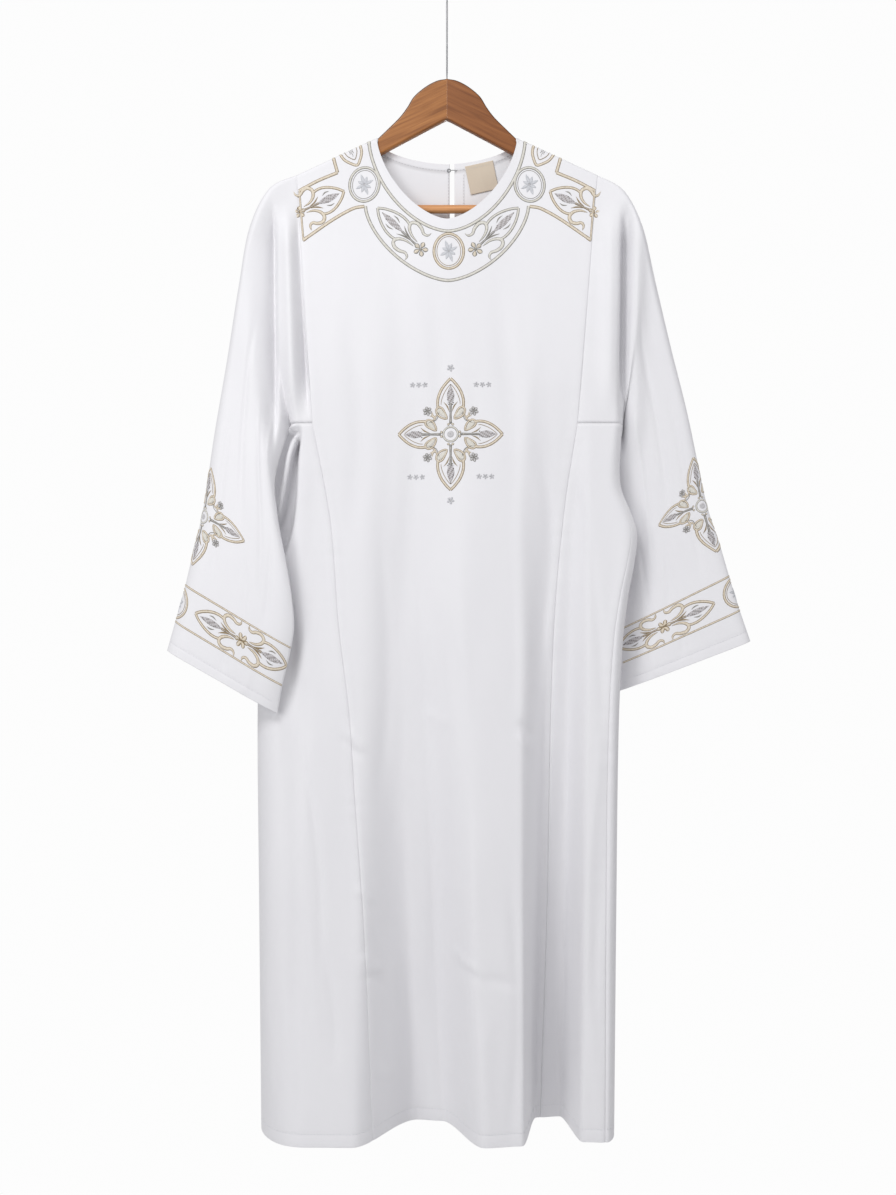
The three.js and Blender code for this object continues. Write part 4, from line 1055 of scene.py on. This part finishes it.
def oval(stitching, centre, rx, ry, kind, tilt=0.0):
    """An oval medallion: a double ring round a pale eight-petalled star."""
    stitching.cord(ring(centre, rx, ry, tilt), kind, True, 2.3)
    stitching.stroke(ring(centre, rx - 4.0, ry - 4.0, tilt), 0.45, 0.5, kind, 1.8, True)
    for k in range(8):
        angle = math.pi * k / 4 + math.pi / 8
        reach = (0.80 if k % 2 else 0.62) * np.array([rx - 4.6, ry - 4.6])
        ray = reach * (math.cos(angle), math.sin(angle))
        stitching.stroke([centre + 0.10 * ray, centre + ray], [0.4, 2.2, 2.7, 2.0, 0.3], 0.5, STAR, 1.4)
    stitching.beads([centre], 1.6, 0.9, PALE)


PETAL_VOLUTE = [(0.28, 0.15), (0.37, 0.21), (0.46, 0.32), (0.49, 0.46), (0.44, 0.56), (0.36, 0.52),
                (0.30, 0.36)]
PETAL_HEART = [(0.30, 0.18), (0.38, 0.34), (0.44, 0.50)]
PETAL_OUTLINE = [(1.0, 0.0), (0.92, 0.17), (0.80, 0.36), (0.66, 0.48), (0.54, 0.505), (0.46, 0.48)]
PETAL_LINING = [(0.90, 0.0), (0.83, 0.13), (0.72, 0.27), (0.60, 0.36), (0.53, 0.37)]
PETAL_RIB = [(0.40, 0.05), (0.50, 0.13), (0.58, 0.27)]
PETAL_CURL = [(0.37, 0.53), (0.30, 0.60), (0.33, 0.70), (0.40, 0.72)]
CORNER_ARC = [(0.42, 0.20), (0.29, 0.24), (0.24, 0.29), (0.20, 0.42)]
# Rows of blossoms by the upper and the lower petals: how far aside and along, as shares of the reach.
ROW_AT = {1.0: (0.57, 0.89), -1.0: (0.62, 0.76)}
BLOSSOM_STEP, BLOSSOM_RADIUS = 8.6, 3.9


def blossom_row(stitching, centre, side):
    """Three small blossoms side by side."""
    for step in (-BLOSSOM_STEP, 0.0, BLOSSOM_STEP):
        flower(stitching, centre + step * side, BLOSSOM_RADIUS, PALE, 5, 0.3 + 0.2 * step, STAR)


def cross(stitching, centre, up, reach, kind, across=1.0, blossoms=True):
    """A cross of four pointed petals round a ringed knot, with scrolls and rosettes between them.

    The petals at its sides are across times as long as the upright ones.
    """
    up = np.asarray(up, float) / math.hypot(*up)
    side = np.array([-up[1], up[0]])
    turns = (up, side, -up, -side)
    width = 0.46 * reach
    for quarter_turn, direction in enumerate(turns):
        petal = reach * (across if quarter_turn % 2 else 1.0)

        def at(points, mirror=1.0):
            return placed(np.asarray(points) * (petal, width), centre, direction, mirror)

        for mirror in (1.0, -1.0):
            stitching.cord(at(PETAL_OUTLINE, mirror), kind, half=2.3)
            stitching.stroke(at(PETAL_LINING, mirror), 0.45, 0.5, kind, 1.8, taper=0.1)
            stitching.stroke(at(PETAL_HEART, mirror), [0.6, 3.0, 4.2, 3.0], 0.5, IVORY, 1.6)
            stitching.cord(at(PETAL_VOLUTE, mirror), kind, True, 1.7, 0.7)
            stitching.stroke(at(PETAL_RIB, mirror), [0.4, 1.1, 0.4], 0.55, kind, 1.5, taper=0.3)
            stitching.cord(at(PETAL_CURL, mirror), kind, half=[0.9, 1.9, 1.3], edge=0.5, taper=0.2)
        knots = [(x, y) for x, y in lens_beads(petal, width, 2.6) if x > 0.53 * petal]
        lens_half = np.array([0.006, 0.13, 0.18, 0.12, 0.006]) * width
        speckled(stitching, at([(0.50, 0.0), (0.88, 0.0)]), lens_half, placed(knots, centre, direction))
        stitching.stroke(at([(0.20, 0.0), (0.40, 0.0), (0.56, 0.0)]), [2.1, 1.6, 2.0], 0.6, SILVER, 2.0)
        stitching.stroke(at([(0.20, 0.0), (0.40, 0.0), (0.58, 0.0)]), 0.4, 0.95, PALE, 2.0)
        heading = math.atan2(direction[1], direction[0])
        flower(stitching, at([(0.20, 0.0)])[0], 0.07 * reach, SILVER, 3, heading)
        corner = np.array([direction, turns[(quarter_turn + 1) % 4]]) * reach
        flower(stitching, centre + (0.415, 0.415) @ corner, 0.085 * reach, SILVER, 6, 0.3, PALE)
        stitching.stroke(np.asarray(CORNER_ARC) @ corner + centre, 0.6, 0.6, SILVER, 1.6, taper=0.15)
    stitching.cord(ring(centre, 0.13 * reach, 0.13 * reach), SILVER, True, 1.7, 0.6)
    stitching.stroke(ring(centre, 0.03 * reach, 0.03 * reach), 0.034 * reach, 0.6, PALE, 1.2, True)
    if blossoms:
        for rise in (1.0, -1.0):
            flower(stitching, centre + 1.19 * rise * reach * up, 5.2, PALE, 5, 0.2, STAR)
            aside, along = ROW_AT[rise]
            for outward in (1.0, -1.0):
                blossom_row(stitching, centre + reach * (outward * aside * side + rise * along * up), side)


# ---- The collar and shoulder bands ----
COLLAR_CENTRE = 1.5
INNER_CORD = (109.0, 86.0, 130.8, 1.7)
OUTER_CORD = (113.5, 180.0, 106.5, 1.6)


def scoop_path(half, top, depth, power, low=-1.0, high=1.0, count=26):
    """A curve round the neckline from left to right, between two shares of its half turn."""
    angles = np.linspace(low, high, count) * math.pi / 2
    x = half * np.sign(angles) * np.abs(np.sin(angles)) ** (2 / power)
    return np.stack([COLLAR_CENTRE * (1 - (x / half) ** 2) + x,
                     top + depth * np.maximum(np.cos(angles), 0.0) ** (2 / power)], axis=1)


HALF_LEAF = [(-0.84, 0.45), (-0.42, 0.80), (0.0, 1.0), (0.42, 0.80), (0.84, 0.45)]


def shoulder_band(stitching, side, kind):
    """The band on one shoulder: two lines, a leaf between them, and half a leaf on the ridge."""
    def at(points):
        return np.asarray(points, float) * (side, 1.0)

    def by_armhole(drop, away):
        return away - float(armhole_x(1, drop)), drop

    stitching.cord(at([(-115.0, 180.5), (-128.0, 182.5), (-141.0, 188.5), (-154.0, 196.0), (-170.0, 206.5),
                       by_armhole(228.0, 1.6)]), kind)
    stitching.cord(at([(-152.5, 132.5), (-180.0, 144.0), by_armhole(158.0, 1.6)]), kind)
    stitching.cord(at([(-158.5, 111.0), (-155.5, 122.0), (-152.5, 132.5)]), kind)
    along_seam = [by_armhole(drop, 2.2) for drop in (158.0, 180.0, 204.0, 228.0)]
    stitching.cord(at(along_seam), kind, half=1.6, edge=0.6)
    leaf(stitching, at([(-205.0, 188.0)])[0], at([(-143.5, 159.0)])[0], 37.0, kind)
    slope = math.atan(SHOULDER_SLOPE)
    ridge = np.array([math.cos(slope), -math.sin(slope)])
    down = np.array([-ridge[1], ridge[0]])
    root = np.array([-135.5, float(ridge_drop(np.float64(135.5)))])
    for width, reach, tone, half, height in ((15.5, 25.0, kind, 2.3, 0.35), (15.5, 25.0, CREAM, 1.55, 0.75),
                                             (9.0, 16.5, kind, 0.5, 0.7)):
        bow = [root + u * width * ridge + v * reach * down for u, v in HALF_LEAF]
        bow = [root - width * ridge + 0.5 * down] + bow + [root + width * ridge + 0.5 * down]
        stitching.stroke(at(bow), half, height, tone, 1.8)
    knots = [root + u * ridge + v * down for v in (2.5, 4.6, 6.7, 8.8, 10.9)
             for u in np.arange(-4.4, 4.5, 2.2) if abs(u) < 5.2 * (1 - v / 14)]
    stitching.beads(at(knots), 0.9, 0.75, SILVER)


front_work = Stitching(lay_on_body(FRONT))
front_work.cord(scoop_path(*INNER_CORD), SILVER)
front_work.cord(scoop_path(*OUTER_CORD), SILVER)
for side in (1.0, -1.0):
    shoulder_band(front_work, side, GOLD)
    oval(front_work, np.array([-115.0 * side, 149.5]), 20.5, 24.0, SILVER, 0.15 * side)
    leaf(front_work, (-38.0 * side + 1.5, 242.0), (-98.0 * side + 1.5, 183.0), 32.0, SILVER)
oval(front_work, np.array([2.5, 245.0]), 20.5, 24.5, GOLD)
cross(front_work, np.array([5.0, 499.5]), (0.0, -1.0), 77.0, GOLD, across=0.93)

back_work = Stitching(lay_on_body(BACK))
for low, high in ((-1.0, -0.02), (0.075, 1.0)):
    back_work.cord(scoop_path(111.0, 86.0, 44.0, 2.1, low, high, 20), SILVER)
    back_work.cord(scoop_path(113.5, 180.0, 22.0, 2.0, low, high, 20), SILVER)
for side in (1.0, -1.0):
    shoulder_band(back_work, side, GOLD)
    oval(back_work, np.array([-115.0 * side, 149.5]), 20.5, 24.0, SILVER, 0.15 * side)
    leaf(back_work, (-22.0 * side + 4.0, 166.0), (-88.0 * side + 4.0, 158.0), 27.0, SILVER)

# ---- Sleeve embroidery ----
CROSS_DROP = {-1: 610.0, 1: 594.0}
# A sleeve's rows slant against its outer fold: how far they stretch and rise to set the cross square.
CROSS_SHEAR = {-1: (1.14, 0.32), 1: (1.17, 0.61)}
# The band round the cuff: the station it is measured from, millimetres from one station to the next,
# its two lines, and how far it reaches round the sleeve.
BAND_STATION, BAND_STEP, BAND_LINES, BAND_REACH = 8.5, 46.0, (-29.0, 23.0), 187.0


def sleeve_stitching(side, grid, stations_at):
    """The cross over a sleeve's outer fold, the band round its cuff, and the cuff's stitches."""
    on_fold = lay_on_sleeve(grid, stations_at, side, False)
    on_stations = lay_on_sleeve(grid, stations_at, side, True)
    stretch, rise = CROSS_SHEAR[side]

    def squared(points):
        away, down = points[..., 0], points[..., 1]
        return on_fold(np.stack([away * stretch, down - rise * np.abs(away)], axis=-1))

    def round_cuff(points):
        return on_stations(points * (1.0, 1.0 / BAND_STEP) + (0.0, BAND_STATION))

    work = Stitching(squared)
    down_fold = float(np.interp(CROSS_DROP[side], WOOD_TOP - grid[:, sleeve_fold, 2], on_fold.along))
    cross(work, np.array([11.5, down_fold + 3.0]), (0.0, -1.0), 69.0, GOLD, across=1.08, blossoms=False)
    work.lay = round_cuff
    for line in BAND_LINES:
        work.cord([(x, line) for x in np.linspace(-BAND_REACH, BAND_REACH, 30)], GOLD, half=1.7, edge=0.6)
    middle = 0.5 * sum(BAND_LINES)
    oval(work, np.array([0.0, middle]), 22.0, 21.0, GOLD)
    for face in (1.0, -1.0):
        for start, end in ((113.0, 38.0), (117.0, 187.0)):
            leaf(work, (start * face, middle), (end * face, middle), 30.0, GOLD)
    stitch_line = (CUFF_STITCH - BAND_STATION) * BAND_STEP
    for turn in (1.0, -1.0):
        work.dashes([(turn * x, stitch_line) for x in (2.0, 90.0, 180.0)])
    return work


sleeve_work = {-1: sleeve_stitching(-1, sleeve_left, sleeve_left_at),
               1: sleeve_stitching(1, sleeve_right, sleeve_right_at)}

# ---- Plain stitches: hem, slit and neck facings ----
def hem_stitches(work, sheet):
    """Stitches along the turned-up hem, stopping short of the seams and the sides."""
    drop = HEM - TURN_UP
    tables = (LEFT_EDGE, *SEAMS[sheet], RIGHT_EDGE)
    left, seam_left, seam_right, right = (table_x(table, drop) for table in tables)
    for start, end, count in ((seam_left + 1, seam_right - 1, 60), (left + 3, seam_left - 1, 40),
                              (seam_right + 1, right - 3, 40)):
        work.dashes([(x, drop) for x in np.linspace(start, end, count)])


hem_stitches(front_work, FRONT)
hem_stitches(back_work, BACK)
for x in (SLIT_LEFT - 5.5, SLIT_RIGHT + 5.5):
    back_work.dashes([(x, drop) for drop in np.linspace(122.0, SLIT_END + 6.0, 12)])
back_work.lay = lay_inside(lay_on_body(BACK), CLOTH + FACING)
for x in (SLIT_LEFT - 1.6, SLIT_RIGHT + 13.0):
    back_work.dashes([(x, drop) for drop in np.linspace(128.0, 250.0, 8)], PALE)
for low, high in ((-95.0, SLIT_LEFT - 2.0), (SLIT_RIGHT + 2.0, 95.0)):
    across_neck = np.linspace(low, high, 24)
    back_work.dashes(np.stack([across_neck, neck_drop(across_neck, BACK) + 9.0], axis=1), PALE)

stitch_pieces = {
    "front": front_work.build("embroidery_front"), "back": back_work.build("embroidery_back"),
    "sleeve_left": sleeve_work[-1].build("embroidery_sleeve_left"),
    "sleeve_right": sleeve_work[1].build("embroidery_sleeve_right"),
}


# ---- The hanger ----
def arm_outline(side):
    """The outline of one wooden half, seen from the front, in (x, drop)."""
    def top(x):
        return float(ridge_drop(np.float64(x))) + 2.9
    crest = [(0.15, 0.0), (14, 2.6), (30, 11), (46, 24.5), (55.5, 39.5), (66, 53.5), (81, 68.5),
             (98, top(98))]
    crest_line, _ = smooth_path(crest, 2.0)
    tail = [(213, top(213)), (222, top(225) + 2), (225, top(225) + 12), (224, 187), (215, 197), (200, 197),
            (192, 189), (192, 169)]
    under, _ = smooth_path([(192, 169), (168, 146), (90, 103.7), (0.15, 56)], 6.0)
    points = np.vstack([crest_line, tail, under[1:]])
    return points * (side, 1.0), np.arange(len(points)) < len(crest_line) - 1


ARM_HALF, ARM_EDGE, EDGE_LINE, MITRE_GAP = 6.5, 2.6, 0.9, 0.03


def wooden_arm(side, node):
    """A flat half of the hanger with rounded edges, built as layers of its outline."""
    outline, on_crest = arm_outline(side)
    if side < 0:
        outline, on_crest = outline[::-1], np.roll(on_crest[::-1], -1)
    before, after = np.roll(outline, 1, axis=0), np.roll(outline, -1, axis=0)
    tangent = after - before
    inward = np.stack([-tangent[:, 1], tangent[:, 0]], axis=1)
    inward /= np.linalg.norm(inward, axis=1, keepdims=True)
    centre = outline.mean(axis=0)
    if np.sum(inward * (centre - outline)) < 0:
        inward = -inward
    flat_half = ARM_HALF - ARM_EDGE
    layers = []
    for angle in np.linspace(-math.pi / 2, math.pi / 2, 9):
        if abs(angle) < 1e-6:
            layers += [(0.0, -flat_half), (0.0, flat_half)]
        else:
            layers.append((ARM_EDGE * (1 - math.cos(angle)),
                           flat_half * np.sign(angle) + ARM_EDGE * math.sin(angle)))
    at_mitre = np.abs(outline[:, 0]) < 0.2
    vertices, uv = [], []
    slope = math.atan(SHOULDER_SLOPE) * side
    for inset, y in layers:
        flat = outline + inward * inset
        flat[at_mitre, 0] = side * MITRE_GAP
        vertices.append(place(flat[:, 0], np.full(len(flat), y), flat[:, 1]))
        along = flat[:, 0] * math.cos(slope) + flat[:, 1] * math.sin(slope)
        uv.append(np.stack([along, flat[:, 1] * math.cos(slope) - flat[:, 0] * math.sin(slope) + y], axis=1))
    count = len(outline)
    faces, dark, rounded = [], [], []
    for layer in range(len(layers) - 1):
        # Faces of the outermost rounding along the crest take the near-black edge wood.
        in_edge_band = min(layers[layer][0], layers[layer + 1][0]) < EDGE_LINE
        for i in range(count):
            j = (i + 1) % count
            a, b = layer * count, (layer + 1) * count
            faces.append([a + i, a + j, b + j, b + i])
            dark.append(int(in_edge_band and on_crest[i]))
            rounded.append(not (at_mitre[i] and at_mitre[j]))
    faces.append(list(range(count))[::-1])
    faces.append([(len(layers) - 1) * count + i for i in range(count)])
    materials = [WOOD_MATERIAL if side < 0 else RIGHT_WOOD_MATERIAL, EDGE_MATERIAL]
    piece = add_mesh("wood_" + node, np.concatenate(vertices), faces, materials, np.concatenate(uv),
                     rounded + [False, False], dark + [0, 0])
    make_consistent(piece)
    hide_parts(node)
    return piece


def make_consistent(piece):
    """Turns every face of a closed piece outward."""
    mesh = bmesh.new()
    mesh.from_mesh(piece.data)
    bmesh.ops.recalc_face_normals(mesh, faces=mesh.faces)
    mesh.to_mesh(piece.data)
    mesh.free()


def tube(name, points, radii, sides, material, slot):
    """A round tube through close points, its radius given at each."""
    points = np.asarray(points, float)
    direction = np.gradient(points, axis=0)
    direction /= np.linalg.norm(direction, axis=1, keepdims=True)
    side_axis = np.array([0.0, 1.0, 0.0])
    other = np.cross(direction, side_axis)
    other /= np.linalg.norm(other, axis=1, keepdims=True)
    side_axis = np.cross(other, direction)
    angles = np.arange(sides) * 2 * math.pi / sides
    radii = np.asarray(radii, float)
    vertices = points[:, None] + radii[:, None, None] * (
        other[:, None] * np.cos(angles)[None, :, None] + side_axis[:, None] * np.sin(angles)[None, :, None])
    along = np.concatenate([[0.0], np.cumsum(np.linalg.norm(np.diff(points, axis=0), axis=1))])
    around = np.minimum(angles, 2 * math.pi - angles) * radii.max()
    uv = np.stack(np.broadcast_arrays(along[:, None], around[None, :]), axis=-1)
    faces = []
    for low in range(0, (len(points) - 1) * sides, sides):
        for k in range(sides):
            m = (k + 1) % sides
            faces.append([low + k, low + m, low + sides + m, low + sides + k])
    faces.append(list(range(sides))[::-1])
    faces.append([(len(points) - 1) * sides + k for k in range(sides)])
    piece = add_mesh(name, vertices.reshape(-1, 3), faces, [material], uv.reshape(-1, 2))
    make_consistent(piece)
    return piece


def rounded_ends(count, radius):
    """Radii that close a tube's ends in a small dome."""
    radii = np.full(count, float(radius))
    for k, share in enumerate((0.35, 0.75, 0.95)):
        radii[k] *= share
        radii[-1 - k] *= share
    return radii


wooden_arm(-1, "hanger_arm_left")
wooden_arm(1, "hanger_arm_right")
BAR_RADIUS, BAR_DROP = 5.95, 181.0
bar_end = np.array([188.8, 190.4, 191.3, 191.7])
bar_x = np.concatenate([-bar_end[::-1], np.linspace(-186, 186, 94), bar_end])
wobble = 0.06 * value_noise(bar_x / 37.0, np.zeros_like(bar_x) + 0.3, 71)
bar = tube("wood_hanger_bar", place(bar_x, np.zeros_like(bar_x), np.full_like(bar_x, BAR_DROP)),
           rounded_ends(len(bar_x), BAR_RADIUS) + wobble, 32, BAR_MATERIAL, "wood")
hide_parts("hanger_bar")

HOOK_RADIUS, WIRE, HOOK_START, HOOK_END = 21.0, 1.2, -68, 202
hook_centre = -(HOOK_RADIUS - WIRE)
stem = [(0.0, 0.0, z) for z in np.linspace(WOOD_TOP + 0.3, hook_centre - HOOK_RADIUS - 6.0, 30)]
bend = [(HOOK_RADIUS * math.cos(math.radians(a)), 0.0, hook_centre + HOOK_RADIUS * math.sin(math.radians(a)))
        for a in np.linspace(HOOK_START, HOOK_END, 90)]
join_start, join_end = np.array(stem[-1]), np.array(bend[0])
start_slope = np.array([0.0, 0.0, 14.0])
end_slope = np.array([math.sin(math.radians(-HOOK_START)), 0.0, math.cos(math.radians(-HOOK_START))]) * 14.0
join = [cubic(join_start, join_end, start_slope, end_slope, t) for t in np.linspace(0, 1, 9)[1:-1]]
hook_points = np.array(stem + [tuple(p) for p in join] + bend)
hook_radii = rounded_ends(len(hook_points), WIRE)
hook = tube("wire_hanger_hook", hook_points, hook_radii, 16, STEEL_MATERIAL, "steel")
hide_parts("hanger_hook")

# ---- Label, hook and eye ----
LABEL_AT, LABEL_SIZE, LABEL_TILT = (49.0, 134.0), 40.0, -0.21
side_share = np.linspace(-0.5, 0.5, 34)
across, downward = np.meshgrid(side_share * LABEL_SIZE, side_share * LABEL_SIZE)
label_x = LABEL_AT[0] - across * math.cos(LABEL_TILT) - downward * math.sin(LABEL_TILT)
label_drop = LABEL_AT[1] + downward * math.cos(LABEL_TILT) - across * math.sin(LABEL_TILT)
lift = 0.5 * np.abs(2 * across / LABEL_SIZE) ** 4 + 0.4 * np.abs(2 * downward / LABEL_SIZE) ** 4
label_grid = place(label_x, body_y(BACK, label_x, label_drop) - CLOTH - FACING - lift, label_drop)
# The grid is the face that lies against the cloth, so the thickness goes the other way.
label_thickness = np.full(label_grid.shape[:2], -0.45)
label = cloth_shell("woven_label", label_grid, label_thickness, LABEL_MATERIAL)
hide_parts("label")

for node in ("clasp_eye", "clasp_hook"):
    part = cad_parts[node]
    part.data.materials.clear()
    part.data.materials.append(STEEL_MATERIAL)


# ---- Floor, world, lights and camera ----
def stage_material(name, colour):
    material, nodes, links, shader = new_material(name)
    shader.inputs["Roughness"].default_value = 0.9
    grain = add_node(nodes, "ShaderNodeTexNoise", {"Scale": 6.0, "Detail": 3.0})
    ramp = colour_ramp(nodes, [(0.3, tuple(0.985 * c for c in colour)), (0.7, colour)])
    links.new(grain.outputs["Fac"], ramp.inputs["Fac"])
    links.new(ramp.outputs["Color"], shader.inputs["Base Color"])
    return material


FLOOR_Z = -2.35
FLOOR_RADIUS = 1.25
floor_mesh = bpy.data.meshes.new("floor")
rim_angles = np.linspace(0, 2 * math.pi, 97)[:-1]
rim = [(FLOOR_RADIUS * math.cos(a), FLOOR_RADIUS * math.sin(a), FLOOR_Z) for a in rim_angles]
floor_mesh.from_pydata(rim, [], [list(range(len(rim)))])
floor_mesh.materials.append(stage_material("pale_floor", (0.8, 0.8, 0.8)))
floor = bpy.data.objects.new("floor", floor_mesh)
bpy.context.scene.collection.objects.link(floor)

world = bpy.data.worlds.new("studio")
bpy.context.scene.world = world
world.use_nodes = True
world_nodes, world_links = world.node_tree.nodes, world.node_tree.links
seen = world_nodes["Background"]
seen.inputs["Color"].default_value = (1.0, 1.0, 1.0, 1.0)
seen.inputs["Strength"].default_value = 0.98
ambient = add_node(world_nodes, "ShaderNodeBackground",
                   {"Color": (0.975, 0.975, 1.0, 1.0), "Strength": 0.485})
chooser = world_nodes.new("ShaderNodeMixShader")
rays = world_nodes.new("ShaderNodeLightPath")
world_links.new(rays.outputs["Is Camera Ray"], chooser.inputs[0])
world_links.new(ambient.outputs["Background"], chooser.inputs[1])
world_links.new(seen.outputs["Background"], chooser.inputs[2])
world_links.new(chooser.outputs["Shader"], world_nodes["World Output"].inputs["Surface"])


def softbox(name, location, target, size, power):
    lamp = bpy.data.lights.new(name, "AREA")
    lamp.shape = "RECTANGLE"
    lamp.size, lamp.size_y = size
    lamp.energy = power
    holder = bpy.data.objects.new(name, lamp)
    holder.location = location
    holder.rotation_euler = (Vector(target) - Vector(location)).to_track_quat("-Z", "Y").to_euler()
    bpy.context.scene.collection.objects.link(holder)


softbox("key_top", (-0.9, -2.3, 1.5), (0.0, 0.0, -0.7), (1.3, 1.0), 46)
softbox("key_left", (-1.6, -2.1, -0.30), (0.0, 0.0, -0.85), (0.9, 1.2), 18.5)
softbox("fill_right", (2.3, -1.6, -0.1), (0.0, 0.0, -0.7), (1.2, 1.6), 12)
softbox("back_top", (0.5, 2.5, 0.5), (0.0, 0.0, -0.8), (1.8, 1.5), 38)

# The camera stands level, CAMERA_AWAY in front of the tunic, and sees FRAME_HEIGHT from top to bottom.
CAMERA_AWAY, FRAME_HEIGHT, SENSOR = 2000.0, 1673.0, 36.0
camera_data = bpy.data.cameras.new("camera")
camera_data.sensor_fit = "VERTICAL"
camera_data.sensor_height = SENSOR
camera_data.lens = SENSOR * CAMERA_AWAY / FRAME_HEIGHT
camera_data.clip_end = 50.0
camera = bpy.data.objects.new("camera", camera_data)
camera.location = (0.0014, -0.001 * CAMERA_AWAY, -0.8845)
camera.rotation_euler = (math.pi / 2, 0.0, 0.0)
bpy.context.scene.collection.objects.link(camera)
bpy.context.scene.camera = camera
bpy.context.scene.view_settings.view_transform = "Standard"


def plain(box):
    return [[float(v) for v in corner] for corner in box]
